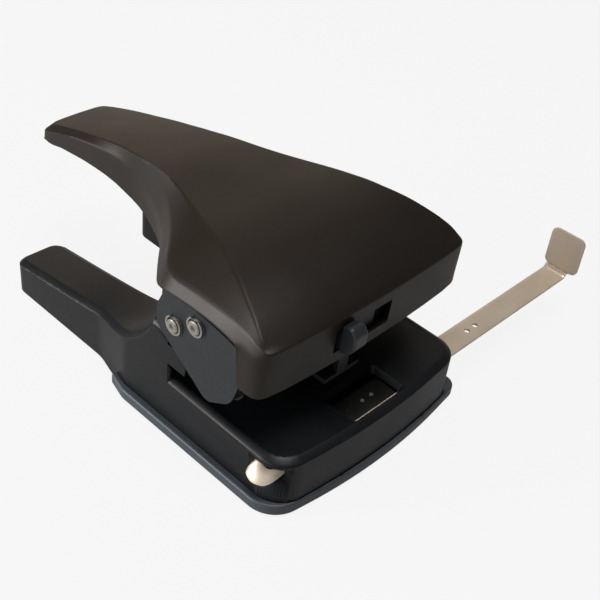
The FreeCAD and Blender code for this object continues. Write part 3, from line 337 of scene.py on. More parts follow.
def ridgeProfile(turn):
    # Distance in from the wall and down from the top, for a rounded edge's direction in degrees
    low, high = casting["ridgeTurns"]
    upper = casting["ridgeDrop"] - casting["ridgeTall"] / 2
    lower = casting["ridgeDrop"] + casting["ridgeTall"] / 2
    full, wide = casting["round"], casting["ridgeWide"]
    if turn <= low:
        return 0.0, full + (lower - full) * turn / low
    if turn <= high:
        share = (turn - low) / (high - low)
        return wide * share, lower + (upper - lower) * share
    share = (turn - high) / (90.0 - high)
    return wide + (full - wide) * share, upper * (1 - share) ** casting["ridgeCurve"]


def ridgePlace(place, normal):
    # Where a vertex of a rounded rim goes when the rim becomes a slope under a crisp ridge
    step = casting["slopeStep"]
    slope = (castTop(place.y + step) - castTop(place.y - step)) / (2 * step)
    tops = [(Vector((0, 0, 1)), lambda back: casting["bedHigh"], casting["bedSlack"], place.y < 0),
            (Vector((0, -slope, 1)).normalized(), castTop, casting["blockSlack"],
             place.y > casting["blockStart"])]
    steep, level = casting["lean"]
    for up, high, slack, there in tops:
        rise = normal.dot(up)
        flat = normal - up * rise
        if not there or not steep < rise < level:
            continue
        flat.normalize()
        inward = 1 - math.sqrt(1 - rise * rise)
        corner = place + flat * casting["round"] * inward + up * casting["round"] * (1 - rise)
        outside = abs(corner.x) > casting["rimSide"] or corner.y < casting["rimFront"] or (
            abs(corner.x) > casting["cornerSide"] and corner.y < casting["cornerFront"])
        if abs(corner.z - high(corner.y)) > slack or (corner.y < 0 and not outside):
            continue
        inset, drop = ridgeProfile(math.degrees(math.asin(rise)))
        return corner - flat * inset - up * drop
    return place


def ridgeRims(work):
    # Rounded rims become ridges, and the jaws' noses are rounded about the pivot, behind the cheeks
    work.normal_update()
    moved = [(v, ridgePlace(v.co / mm, v.normal.copy())) for v in work.verts]
    pivotBack, pivotHigh = casting["pivot"]
    jawLow, jawTop = casting["jawHigh"]
    for vertex, place in moved:
        fore, up = place.y - pivotBack, place.z - pivotHigh
        shrink = casting["noseRound"] / max(math.hypot(fore, up), 0.001)
        inJaw = abs(place.x) > casting["jawSide"] and jawLow < place.z < jawTop
        if inJaw and fore < casting["noseFrom"] and shrink < 1:
            place.y, place.z = pivotBack + fore * shrink, pivotHigh + up * shrink
        vertex.co = place * mm


cheek = {
    "top": [(-48.5, 82.0), (-45.5, 83.6), (-35.8, 85.6), (-26.7, 86.7), (-17.7, 87.2), (-8.4, 86.8),
            (5.2, 85.2)],
    "topFrom": 83.0, "cuts": range(-46, 5, 3), "hole": (-21.2, 79.5), "holeRim": 4.8,
}


def curveCheek(work):
    # The plate's straight top becomes a low arch under the cover's edge
    for back in cheek["cuts"]:
        bmesh.ops.bisect_plane(work, geom=work.verts[:] + work.edges[:] + work.faces[:],
                               plane_co=(0, back * mm, 0), plane_no=(0, 1, 0))
    holeBack, holeHigh = cheek["hole"]
    for vertex in work.verts:
        place = vertex.co / mm
        fromHole = math.hypot(place.y - holeBack, place.z - holeHigh)
        if place.z > cheek["topFrom"] and fromHole > cheek["holeRim"]:
            vertex.co.z = lookUp(cheek["top"], place.y) * mm


weld = {"merge": 0.000002, "flat": 0.02, "bevelFrom": 40.0}  # metres, then degrees
solids = {
    "castBase": dict(node="base_casting", soft=30.0, reshape=ridgeRims),
    "chipTray": dict(node="chip_tray", soft=30.0),
    "cheekPlate_left": dict(node="cheek_left", soft=2.0, reshape=curveCheek),
    "cheekPlate_right": dict(node="cheek_right", soft=2.0, reshape=curveCheek),
    "lockKnob": dict(node="lock_knob", soft=40.0, bevel=0.25),
}


def bevelEdges(piece, width, degrees):
    modify(piece, "BEVEL", width=width * mm, segments=2, limit_method="ANGLE",
           angle_limit=math.radians(degrees))


def weldedCopy(name, node, soft, bevel=0.0, reshape=None):
    mesh = nodes[node].data.copy()
    mesh.name = name
    work = bmesh.new()
    work.from_mesh(mesh)
    bmesh.ops.remove_doubles(work, verts=work.verts, dist=weld["merge"])
    if reshape:
        reshape(work)
    flat = math.radians(weld["flat"])
    bmesh.ops.dissolve_limit(work, angle_limit=flat, verts=work.verts, edges=work.edges)
    bmesh.ops.triangulate(work, faces=[f for f in work.faces if len(f.verts) > 4])
    work.to_mesh(mesh)
    work.free()
    piece = newObject(name, mesh)
    if bevel:
        bevelEdges(piece, bevel, weld["bevelFrom"])
        applyModifiers(piece)
    shadeSoft(piece.data, soft)
    modify(piece, "WEIGHTED_NORMAL", keep_sharp=True)
    applyModifiers(piece)
    finish(piece, bodyOf[node], finishOf(slotOf[node]), [node])


for solidName, settings in solids.items():
    weldedCopy(solidName, **settings)
print("solids dressed")


# Lever cover: a crowned top, a narrow facet, a bevelled band and a wall, made as rings round the outline

cover = {
    "frontBow": 3.4, "bowHalf": 68.0, "bowFade": (-15.0, -61.0), "shoulderReach": 66.8, "shoulderHigh": 91.2,
    "shoulderHalf": 67.5, "rimBack": 0.1, "rimDrop": 3.6, "flare": 1.015, "frontFootReach": 65.5,
    "frontLow": 65.6, "footFrom": -48.3, "footOut": 0.2, "wall": 1.8, "fineness": 2, "soft": 50.0,
    "cornerRound": 7.5, "cornerOut": 1.0, "cornerBow": 0.97,
    "handleEnd": 157.2, "endBow": 2.2, "endSquare": 0.75,
    "end": {"band": (18.0, 3.5, 1.8, 82.8, 0.4), "rim": (21.7, 0.5, 2.6, 79.0, 0.0),
            "foot": (21.9, 0.0, 2.6, 74.2, 0.0)},
    "lockSlot": (-27.0, 9.0, 72.0, 85.3), "slotDepth": (-75.0, -58.0), "slotRound": 0.8,
    "sharp": {"crease": 0.85, "band": 0.55, "shoulder": 0.35, "rim": 0.75},
    "creaseFade": (80, 62), "rimFade": (2, 14),
    "wallCreases": dict(edge_crease_rim=0.6, edge_crease_outer=0.7, edge_crease_inner=0.7),
    "layers": [("half", "top", "band", 0.5), ("band", "band", "band", 0), ("slope", "band", "rim", 0.5),
               ("rim", "rim", "rim", 0), ("upper", "rim", "foot", 0.35), ("lower", "rim", "foot", 0.8),
               ("foot", "foot", "foot", 0)],
    "stations": [
        152.6, 149.5, 145, 138, 128, 118, 108, 99, 91, 84, 77, 71, 65, 59, 53, 47, 41, 35, 29, 23, 17, 11,
        6, 1, -5, -13, -21, -29, -36, -42, -46.5, -50, -51.3, -54.5, -58, -61.4, -64.4],
    "columns": [-1.0, -0.93, -0.8, -0.58, -0.3, 0.0, 0.3, 0.58, 0.8, 0.93, 1.0],
    "spine": [
        (-67.2, 91.6), (-64.2, 93.7), (-61.2, 95.8), (-55.2, 99.5), (-50.2, 101.9), (-40.2, 105.2),
        (-23, 108.3), (-3, 109.2), (5, 108.9), (14, 108.4), (23, 108), (33, 107.6), (43, 107.1), (53, 106.4),
        (63, 105), (70, 104), (77, 102.9), (84, 101.5), (90, 100.4), (97, 98.8), (105, 96.8), (115, 94.3),
        (125, 91.8), (135, 88.8), (145, 85.7), (152, 83.6)],
    "creaseHalf": [
        (-62, 66.3), (-56, 64), (-50, 61.4), (-40, 57.3), (-33, 54.2), (-26, 51.1), (-19, 48), (-12, 45.4),
        (-5, 43), (5, 39.6), (14, 36.5), (23, 33.3), (33, 29.8), (43, 27), (53, 25), (63, 23.5), (70, 22.5),
        (77, 21.5), (84, 20.7), (90, 20.1), (97, 19.6), (105, 19.1), (115, 18.7), (125, 18.4), (135, 18.2),
        (145, 17.8), (152, 16.6)],
    "creaseHigh": [
        (-62, 90.9), (-56, 95), (-50, 98.4), (-40, 102.3), (-33, 104.6), (-23, 106.6), (-12, 107.8),
        (-5, 107.9), (5, 107.6), (14, 107.1), (23, 106.7), (33, 106.4), (43, 106), (53, 105.3), (63, 104),
        (70, 102.9), (77, 101.9), (84, 100.5), (90, 99.5), (97, 98), (105, 96), (115, 93.5), (125, 91),
        (135, 88), (145, 85), (152, 82.9)],
    "bandHalf": [
        (-62, 66.9), (-56, 66.2), (-47, 65.5), (-30, 65.3), (-12, 65.4), (-5, 65.3), (0, 64.2), (4, 61.9),
        (8, 58.8), (12, 55.3), (17, 50.1), (23, 44.4), (30, 38.8), (36, 34.7), (43, 30.4), (50, 27.3),
        (56, 25.3), (61, 24.2), (66, 23.5), (72, 22.7), (77, 22), (84, 21.2), (90, 20.6), (97, 20.1),
        (105, 19.6), (125, 18.9), (145, 18.3), (152, 17.2)],
    "bandHigh": [
        (-62, 90.2), (-56, 92.4), (-52, 93.4), (-47, 94.2), (-40, 94.9), (-30, 95.3), (-19, 95.4),
        (-12, 94.9), (-5, 94.2), (4, 94.6), (12, 95.6), (23, 96.6), (30, 97.2), (36, 98), (43, 98.9),
        (50, 100.3), (56, 101.3), (61, 102), (66, 102.4), (72, 102.1), (77, 101.4), (84, 100), (90, 99),
        (97, 97.5), (105, 95.5), (125, 90.6), (145, 84.6), (152, 82.6)],
    "rimHalf": [
        (-62, 68.4), (-5, 68.2), (0, 67.9), (4, 66.6), (8, 64.3), (12, 61.3), (17, 56.9), (23, 51.1),
        (30, 44.1), (36, 39), (43, 34.5), (50, 30.9), (56, 28.5), (63, 26), (70, 24.1), (77, 22.9),
        (84, 22.6), (90, 22.5), (148, 22.4), (153, 21.5)],
    "rimHigh": [
        (-62, 86.4), (-54, 86.6), (-47, 88), (-38, 89.8), (-29, 90.7), (-20, 90.6), (-11, 90.1), (-3, 89.2),
        (4, 87.4), (8, 86), (12, 85.4), (17, 85.3), (23, 85.8), (30, 86.4), (36, 87), (43, 87.8), (50, 88.8),
        (56, 89.6), (63, 90.6), (70, 91.4), (77, 92.1), (84, 93), (90, 93.4), (97, 93.1), (104, 92.3),
        (118, 89.9), (127, 88), (139, 84.5), (152, 79.8)],
    "footHigh": [
        (-48, 87), (-38, 88.9), (-29, 89.8), (-20, 89.7), (-11, 89.2), (-3, 88.2), (3, 86.8), (8, 84.2),
        (14, 81.8), (23, 79), (30, 77), (38, 74.9), (45, 73.7), (53, 73.7), (63, 74.5), (77, 75.5),
        (84, 76.6), (90, 77.8), (103, 78.7), (118, 78.3), (128, 77.3), (138, 76.2), (149, 74), (153, 74.2)],
}


def coverRow(station, across):
    # Rows follow the bowed front near it and run straight across further back
    bow = cover["frontBow"] * (across / cover["bowHalf"]) ** 2
    return station + bow * smooth(*cover["bowFade"], station)


def roundCorner(place):
    # The plan's square front corners become quarter circles
    across, along, high = place
    radius = cover["cornerRound"]
    centre = (cover["shoulderHalf"] + cover["cornerOut"] - radius,
              radius + cover["frontBow"] * cover["cornerBow"] - cover["shoulderReach"])
    out, fore = abs(across) - centre[0], centre[1] - along
    if out <= 0 or fore <= 0:
        return place
    share = max(out, fore) / math.hypot(out, fore)
    return math.copysign(centre[0] + out * share, across), centre[1] - fore * share, high


def coverEdge(station):
    # Where a row meets the crease: half width and place on Y
    along = station
    for turn in range(4):
        half = lookUp(cover["creaseHalf"], along)
        along = coverRow(station, half)
    return half, along


def coverRings():
    stations, columns = cover["stations"], cover["columns"]
    last, far = len(stations) - 1, len(columns) - 1
    grid, rings = [], {"band": {}, "rim": {}, "foot": {}}
    for number, station in enumerate(stations):
        half, edge = coverEdge(station)
        middleHigh = lookUp(cover["spine"], station)
        edgeHigh = lookUp(cover["creaseHigh"], edge)
        row = []
        for share in columns:
            across = share * half
            along = coverRow(station, across)
            if number == 0:
                along -= cover["endBow"] * abs(share) ** 4
            row.append((across, along, middleHigh + (edgeHigh - middleHigh) * share * share))
        grid.append(row)
        band, high, rim, rimHigh, foot = (lookUp(cover[table], edge) for table in (
            "bandHalf", "bandHigh", "rimHalf", "rimHigh", "footHigh"))
        low = foot if edge > cover["footFrom"] else cover["frontLow"]
        for column, sign in ((0, -1), (far, 1)):
            key = (number, column)
            rings["band"][key] = sign * band, edge, high
            rings["rim"][key] = sign * rim, edge, rimHigh
            rings["foot"][key] = sign * (rim + cover["footOut"]), edge, low
    for column, share in enumerate(columns):
        across = share * cover["shoulderHalf"]
        drop = (across / cover["bowHalf"]) ** 2
        front = cover["frontBow"] * drop - cover["shoulderReach"]
        foot = cover["frontBow"] * drop - cover["frontFootReach"]
        high = cover["shoulderHigh"]
        wide = across * cover["flare"]
        rings["band"][(last, column)] = across, front, high - drop
        rings["rim"][(last, column)] = wide, front + cover["rimBack"], high - cover["rimDrop"] - drop
        rings["foot"][(last, column)] = wide, foot, cover["frontLow"]
        square = cover["endSquare"]
        corner = max(0.0, (abs(share) - square) / (1 - square)) ** 2
        for name, (half, inset, rounding, high, sag) in cover["end"].items():
            along = cover["handleEnd"] - inset - rounding * corner
            rings[name][(0, column)] = share * half, along, high - sag * share ** 2
    grid = [[roundCorner(place) for place in row] for row in grid]
    rings = {name: {key: roundCorner(ring[key]) for key in ring} for name, ring in rings.items()}
    return grid, rings


def between(first, second, share):
    return tuple(a + (b - a) * share for a, b in zip(first, second))


def setSharpness(mesh, rows, wide, path, ringStarts):
    # Edge creases keep the crease line, the band's edges and the front shoulder crisp
    layer = mesh.attributes.new("crease_edge", "FLOAT", "EDGE")
    sharp = cover["sharp"]
    length = len(path)
    topOf = {i * wide + j: k for k, (i, j) in enumerate(path)}
    for edge in mesh.edges:
        a, b = edge.vertices
        weight = 0.0
        place = mesh.vertices[a].co.y / mm
        if a in topOf and b in topOf and (topOf[a] - topOf[b]) % length in (1, length - 1):
            column = path[topOf[a]][1]
            if column == path[topOf[b]][1] and column in (0, wide - 1):
                weight = sharp["crease"] * smooth(*cover["creaseFade"], place)
        for name in ("band", "rim"):
            first, second = a - ringStarts[name], b - ringStarts[name]
            if min(first, second) < 0 or max(first, second) >= length:
                continue
            if name == "rim":
                weight = sharp["rim"] * smooth(*cover["rimFade"], place)
            else:
                weight = sharp["band" if path[first][0] < rows - 1 else "shoulder"]
        layer.data[edge.index].value = weight


def cutAway(piece, cutter):
    modify(piece, "BOOLEAN", object=cutter, solver="EXACT")
    applyModifiers(piece)
    bpy.data.objects.remove(cutter)


def cutLockSlot(piece):
    left, right, low, high = cover["lockSlot"]
    corners = ((left, low), (right, low), (right, high), (left, high))
    spots = [(x, y, z) for y in cover["slotDepth"] for x, z in corners]
    faces = [(0, 1, 2, 3), (7, 6, 5, 4), (0, 4, 5, 1), (1, 5, 6, 2), (2, 6, 7, 3), (3, 7, 4, 0)]
    cutter = newObject("slotCutter", meshFrom("slotCutter", spots, faces))
    modify(cutter, "BEVEL", width=cover["slotRound"] * mm, segments=3)
    cutAway(piece, applyModifiers(cutter))


def buildCover():
    grid, rings = coverRings()
    rows, wide = len(grid), len(grid[0])
    path = [(i, wide - 1) for i in range(rows)] + [(rows - 1, j) for j in range(wide - 2, -1, -1)]
    path += [(i, 0) for i in range(rows - 2, -1, -1)] + [(0, j) for j in range(1, wide - 1)]
    vertices = [vertex for row in grid for vertex in row]
    faces = gridFaces(rows, wide)
    inner = [i * wide + j for i, j in path]
    rings["top"] = {(i, j): grid[i][j] for i, j in path}
    ringStarts = {}
    for name, first, second, share in cover["layers"]:
        start = ringStarts[name] = len(vertices)
        vertices += [between(rings[first][key], rings[second][key], share) for key in path]
        outer = list(range(start, len(vertices)))
        faces += stripFaces(inner, outer)
        inner = outer
    mesh = meshFrom("leverCover", vertices, faces)
    setSharpness(mesh, rows, wide, path, ringStarts)
    facesOut(mesh)
    piece = newObject("leverCover", mesh)
    modify(piece, "SOLIDIFY", thickness=cover["wall"] * mm, offset=-1.0, **cover["wallCreases"])
    modify(piece, "SUBSURF", levels=cover["fineness"], render_levels=cover["fineness"])
    applyModifiers(piece)
    cutLockSlot(piece)
    shadeSoft(piece.data, cover["soft"])
    finish(piece, "lever", materials["leverPaint"], ["lever_cover"])


buildCover()
print("lever cover built")


# Paper guide: a thin strip with its end turned up into a fence, a near-black sheet painted as shade in the
# window, and a flared tongue

guide = {
    "thick": 1.3, "low": 25.5, "left": -56.5, "bendStart": 165.2, "bendRadius": 3.4, "top": 53.4,
    "back": -59.1, "front": -72.9, "fenceMiddle": -68.0, "fenceHalf": 10.6, "neckHigh": 29.5,
    "cornerRound": 3.6, "holes": (84.0, 91.0), "holeRadius": 1.6, "holeSides": 28, "holeDeep": 8.0,
    "edge": 0.25, "bevelFrom": 60.0, "lengthSteps": 24,
    "tongueThick": 0.9, "tongueEdge": 0.2, "tongueSteps": (8, 20), "tongueSag": 1.1, "sagWay": (-0.5, 0.35),
    "tongueUpper": [(-57.0, -56.9, 26.2), (-60.0, -58.6, 25.8), (-61.5, -62.0, 24.6), (-60.6, -65.6, 23.2),
                    (-57.2, -68.2, 23.8), (-52.6, -69.0, 25.4)],
    "tongueLower": [(-62.8, -56.2, 19.6), (-66.4, -57.8, 18.2), (-67.6, -62.4, 17.2), (-65.6, -67.2, 17.2),
                    (-60.6, -70.2, 19.8), (-54.2, -71.0, 22.6)],
}


def guideWidth(path, high):
    # Back and front edges of the sheet at a height on the fence
    if path < guide["bendStart"] + 2 or high < guide["neckHigh"]:
        return guide["back"], guide["front"]
    corner = guide["cornerRound"]
    ends = max(0.0, high - (guide["top"] - corner), guide["neckHigh"] + corner - high) / corner
    half = guide["fenceHalf"] - corner * (1 - math.sqrt(max(0.0, 1 - ends ** 2)))
    return guide["fenceMiddle"] + half, guide["fenceMiddle"] - half


def guidePath():
    # Centre line of the sheet: along the base, round the bend and up the fence
    radius, low = guide["bendRadius"], guide["low"] + guide["thick"] / 2
    steps = guide["lengthSteps"]
    left, right = guide["left"], guide["bendStart"]
    rows = [(left + (right - left) * k / steps, low) for k in range(steps + 1)]
    for k in range(1, 7):
        turn = math.radians(15 * k)
        rows.append((right + radius * math.sin(turn), low + radius * (1 - math.cos(turn))))
    start, corner = guide["neckHigh"], guide["cornerRound"]
    steps = [start + corner * (1 - math.cos(math.radians(18 * k))) for k in range(6)]
    steps += [guide["top"] - corner * (1 - math.sin(math.radians(18 * k))) for k in range(6)]
    return rows + [(right + radius, high) for high in steps]


def sheetFrom(name, rows, thick, bevel, soft=35.0):
    # A grid of points given a wall and softened edges
    faces = gridFaces(len(rows), len(rows[0]))
    piece = newObject(name, meshFrom(name, [place for row in rows for place in row], faces))
    modify(piece, "SOLIDIFY", thickness=thick * mm, offset=0.0)
    bevelEdges(piece, bevel, guide["bevelFrom"])
    shadeSoft(applyModifiers(piece).data, soft)
    return piece


def buildGuide():
    rows = []
    for path, high in guidePath():
        back, front = guideWidth(path, high)
        rows.append([(path, front + (back - front) * share / 6, high) for share in range(7)])
    piece = sheetFrom("paperGuide", rows, guide["thick"], guide["edge"])
    for across in guide["holes"]:
        tool = bmesh.new()
        place = Matrix.Translation(Vector((across, (guide["back"] + guide["front"]) / 2, guide["low"])) * mm)
        radius = guide["holeRadius"] * mm
        bmesh.ops.create_cone(tool, cap_ends=True, segments=guide["holeSides"], radius1=radius,
                              radius2=radius, depth=guide["holeDeep"] * mm, matrix=place)
        mesh = bpy.data.meshes.new("holeTool")
        tool.to_mesh(mesh)
        tool.free()
        cutAway(piece, newObject("holeTool", mesh))
    shadeSoft(piece.data)
    finish(piece, "guide_strip", materials["stripSteel"], ["paper_guide"])
    buildTongue()


def buildTongue():
    # The strip's other end: a sheet between two edges that dips a little in the middle
    upper, lower = guide["tongueUpper"], guide["tongueLower"]
    down, along = guide["tongueSteps"]
    outward, lift = guide["sagWay"]
    rows = []
    for step in range(down + 1):
        share = step / down
        sag = guide["tongueSag"] * math.sin(math.pi * share)
        row = []
        for k in range(along + 1):
            place = k / along * (len(upper) - 1)
            first, second = (tuple(lookUp([(n, point[axis]) for n, point in enumerate(side)], place)
                                   for axis in range(3)) for side in (upper, lower))
            x, y, z = between(first, second, share)
            row.append((x + outward * sag, y, z + lift * sag))
        rows.append(row)
    tongue = sheetFrom("guideTongue", rows, guide["tongueThick"], guide["tongueEdge"], 45.0)
    finish(tongue, "guide_strip", materials["stripSteel"])


scale = {"left": -50.0, "right": 45.0, "back": -59.15, "front": -72.4, "low": 26.78, "high": 27.0,
         "edge": 0.06, "marks": [(1.3, -65.6), (7.8, -65.6)], "markRadius": 1.1, "markHigh": 0.3,
         "hole": (-9.8, -66.0), "holeRadius": 1.5}


def buildScale():
    # A near-black sheet on the guide, painted shade where the strip shows in the window under the lever
    # head, with raised bright studs and a black disc painted as the shade in a hole
    rows = [[(x, y, (scale["low"] + scale["high"]) / 2) for y in (scale["front"], scale["back"])]
            for x in (scale["left"], 0.0, scale["right"])]
    band = sheetFrom("scaleBand", rows, scale["high"] - scale["low"], scale["edge"])
    finish(band, "guide_strip", materials["scaleEnamel"])


# Clips, screws, springs and feet, each made by a node tree on a few placed points

def startTree(name, sizes):
    tree = bpy.data.node_groups.new(name, "GeometryNodeTree")
    tree.interface.new_socket("Geometry", in_out="INPUT", socket_type="NodeSocketGeometry")
    tree.interface.new_socket("Geometry", in_out="OUTPUT", socket_type="NodeSocketGeometry")
    for label in sizes:
        tree.interface.new_socket(label, in_out="INPUT", socket_type="NodeSocketFloat")
    return tree, tree.nodes.new("NodeGroupInput").outputs


def shape(tree, kind, inputs, **settings):
    # The first output of a new geometry node
    return add(tree, "GeometryNode" + kind, inputs, **settings).outputs[0]


def vector(tree, x=0.0, y=0.0, z=0.0):
    return add(tree, "ShaderNodeCombineXYZ", {0: x, 1: y, 2: z}).outputs[0]


def moved(tree, geometry, shift=(0, 0, 0), turn=(0, 0, 0)):
    return shape(tree, "Transform", {"Geometry": geometry, "Translation": shift, "Rotation": turn})


def raised(tree, geometry, high, share):
    # Shifted up by a share of a height
    return moved(tree, geometry, vector(tree, z=maths(tree, "MULTIPLY", high, share)))


def combined(tree, operation, first, others):
    node = add(tree, "GeometryNodeMeshBoolean", first, operation=operation, solver="EXACT")
    for other in others:
        tree.links.new(other, node.inputs["Mesh 2"])
    return node.outputs[0]


def joined(tree, parts):
    node = tree.nodes.new("GeometryNodeJoinGeometry")
    for part in reversed(parts):
        tree.links.new(part, node.inputs[0])
    return node.outputs[0]


def rod(tree, sides, radius, tall):
    return shape(tree, "MeshCylinder", {"Vertices": sides, "Radius": radius, "Depth": tall})


def cone(tree, sides, top, bottom, tall):
    return shape(tree, "MeshCone", {
        "Vertices": sides, "Radius Top": top, "Radius Bottom": bottom, "Depth": tall})


def circle(tree, steps, radius):
    return shape(tree, "CurvePrimitiveCircle", {"Resolution": steps, "Radius": radius})


def swept(tree, path, section, caps=True):
    return shape(tree, "CurveToMesh", {"Curve": path, "Profile Curve": section, "Fill Caps": caps})


def endTree(tree, given, form, material):
    # The form stands on every point, turned to its facing and sized by its scale
    facing, sized = (shape(tree, "InputNamedAttribute", {"Name": label}, data_type="FLOAT_VECTOR")
                     for label in ("facing", "sized"))
    turned = add(tree, "FunctionNodeAlignRotationToVector", {"Vector": facing}, axis="Z")
    placed = shape(tree, "InstanceOnPoints", {
        "Points": given["Geometry"], "Instance": form, "Rotation": turned.outputs["Rotation"],
        "Scale": sized})
    real = shape(tree, "RealizeInstances", {"Geometry": placed})
    painted = shape(tree, "SetMaterial", {"Geometry": real, "Material": material})
    tree.links.new(painted, tree.nodes.new("NodeGroupOutput").inputs[0])
    return tree


def clipTree(sizes, material):
    # An open ring with three short prongs towards the shaft
    tree, given = startTree("clipShape", sizes)
    arc = shape(tree, "CurveArc", {
        "Resolution": 40, "Radius": given["ringRadius"], "Start Angle": given["gapHalf"],
        "Sweep Angle": maths(tree, "SUBTRACT", math.tau, maths(tree, "MULTIPLY", given["gapHalf"], 2.0))})
    section = shape(tree, "CurvePrimitiveQuadrilateral", {
        "Width": given["thick"], "Height": given["ringWide"]})
    parts = [swept(tree, arc, section)]
    size = vector(tree, given["prongLong"], given["prongWide"], given["thick"])
    prong = moved(tree, shape(tree, "MeshCube", {"Size": size}), vector(tree, given["prongReach"]))
    for turn in (0.5, 1.0, 1.5):
        parts.append(moved(tree, prong, turn=(0, 0, math.pi * turn)))
    return endTree(tree, given, joined(tree, parts), material)


def screwTree(sizes, material):
    # A low head with a cross recess, on a plain shank, one unit wide and one unit long
    tree, given = startTree("screwShape", sizes)
    tall = given["headTall"]
    side = raised(tree, rod(tree, 32, 1.0, tall), tall, -1.1)
    top = cone(tree, 32, given["crownShare"], 1.0, maths(tree, "MULTIPLY", tall, 0.6))
    shank = rod(tree, 20, given["shankShare"], maths(tree, "SUBTRACT", 1.0, tall))
    parts = [side, raised(tree, top, tall, -0.6), moved(tree, shank, (0, 0, -0.5))]
    solid = combined(tree, "UNION", {}, parts)
    size = vector(tree, given["recessLong"], given["recessWide"], maths(tree, "MULTIPLY", tall, 1.2))
    arm = shape(tree, "MeshCube", {"Size": size})
    recess = [arm, moved(tree, arm, turn=(0, 0, math.pi / 2))]
    return endTree(tree, given, combined(tree, "DIFFERENCE", {"Mesh 1": solid}, recess), material)


def springTree(sizes, material):
    tree, given = startTree("springShape", sizes)
    coil = shape(tree, "CurveSpiral", {
        "Resolution": 28, "Rotations": given["turns"], "Start Radius": given["coilRadius"],
        "End Radius": given["coilRadius"], "Height": given["tall"]})
    return endTree(tree, given, swept(tree, coil, circle(tree, 10, given["wire"])), material)


def footTree(sizes, material):
    # A round pad with raised rings on its underside
    tree, given = startTree("footShape", sizes)
    tall = given["padTall"]
    parts = [raised(tree, rod(tree, 48, given["padRadius"], tall), tall, -0.5)]
    for share in ringShares:
        ring = circle(tree, 40, maths(tree, "MULTIPLY", given["padRadius"], share))
        parts.append(raised(tree, swept(tree, ring, circle(tree, 8, given["ringThick"]), False), tall, -1.0))
    return endTree(tree, given, joined(tree, parts), material)


def grow(name, tree, sizes, points, degrees=35.0):
    # The points carry their facing and scale, and the tree's result becomes a plain mesh
    mesh = meshFrom(name, [place for place, _, _ in points], [])
    for label, column in (("facing", 1), ("sized", 2)):
        layer = mesh.attributes.new(label, "FLOAT_VECTOR", "POINT")
        for number, point in enumerate(points):
            layer.data[number].vector = point[column]
    piece = newObject(name, mesh)
    modifier = modify(piece, "NODES", node_group=tree)
    for socket in tree.interface.items_tree:
        if socket.in_out == "INPUT" and socket.name in sizes:
            modifier[socket.identifier] = sizes[socket.name]
    applyModifiers(piece)
    shadeSoft(piece.data, degrees)
    return piece


one = (1.0, 1.0, 1.0)
upward = (0.0, 0.0, 1.0)
clipSizes = {"ringRadius": 4.55 * mm, "ringWide": 1.9 * mm, "thick": 0.85 * mm, "gapHalf": 0.5,
             "prongLong": 1.5 * mm, "prongWide": 1.8 * mm, "prongReach": 3.4 * mm}
clipNodes = [f"{kind}_{side}" for kind in ("clip_front", "clip_rear", "roller_clip")
             for side in ("left", "right")]


def middle(node):
    low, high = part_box(node)
    return tuple((a + b) / 2 / mm for a, b in zip(low, high))


def buildClips():
    tree = clipTree(clipSizes, materials["zincSteel"])
    points = [(middle(node), (1.0 if "right" in node else -1.0, 0, 0), one) for node in clipNodes]
    finish(grow("shaftClips", tree, clipSizes, points), "lever", None, clipNodes)


screwSizes = {"headTall": 0.34, "crownShare": 0.72, "shankShare": 0.5, "recessLong": 1.15,
              "recessWide": 0.24}
screwSets = {
    "screwsBase": ("base", [f"{kind}_{side}" for side in ("left", "right") for kind in
                            ("die_screw_inner", "die_screw_outer", "catch_screw", "guide_screw")]),
    "screwsLever": ("lever", ["cover_screw_front", "cover_screw_rear"]),
}


def headUp(node):
    # Whether the widest part of a screw is at its upper end
    centre = Vector(middle(node)) * mm
    widest = max(nodes[node].data.vertices, key=lambda v: round((v.co.xy - centre.xy).length, 6))
    return widest.co.z > centre.z


def buildScrews():
    tree = screwTree(screwSizes, materials["zincSteel"])
    for name, (body, members) in screwSets.items():
        points = []
        for node in members:
            low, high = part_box(node)
            up = headUp(node)
            x, y, _ = middle(node)
            radius = (high[0] - low[0]) / 2
            points.append(((x, y, (high if up else low)[2] / mm), (0, 0, 1.0 if up else -1.0),
                           (radius, radius, high[2] - low[2])))
        finish(grow(name, tree, screwSizes, points), body, None, members)


springSizes = {"coilRadius": 5.1 * mm, "wire": 0.5 * mm, "turns": 7.5, "tall": 18.3 * mm}


def buildSprings():
    tree = springTree(springSizes, materials["springSteel"])
    for side in ("left", "right"):
        node = f"return_spring_{side}"
        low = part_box(node)[0]
        x, y, _ = middle(node)
        foot = low[2] / mm + springSizes["wire"] / mm
        piece = grow(f"returnCoil_{side}", tree, springSizes, [((x, y, foot), upward, one)], 60.0)
        finish(piece, "base", None, [node])
        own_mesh(piece)


footSizes = {"padRadius": 5.75 * mm, "padTall": 0.75 * mm, "ringThick": 0.25 * mm}
ringShares = (0.3, 0.6, 0.88)
footTop = 1.0
footNodes = [name for name in nodes if name.startswith("foot_")]


def buildFeet():
    tree = footTree(footSizes, materials["rubber"])
    points = [((*middle(node)[:2], footTop), upward, one) for node in footNodes]
    finish(grow("padFeet", tree, footSizes, points), "base", None, footNodes)


# Shafts: turned rods with a groove for each clip and a centre mark in each end

shaft = {"half": 69.0, "radius": 4.0, "groove": (66.7, 67.8), "grooveRadius": 3.1, "endRadius": 3.5,
         "chamfer": 0.5, "markRadius": 1.5, "markDeep": 2.6, "markTip": 0.02, "sides": 48}


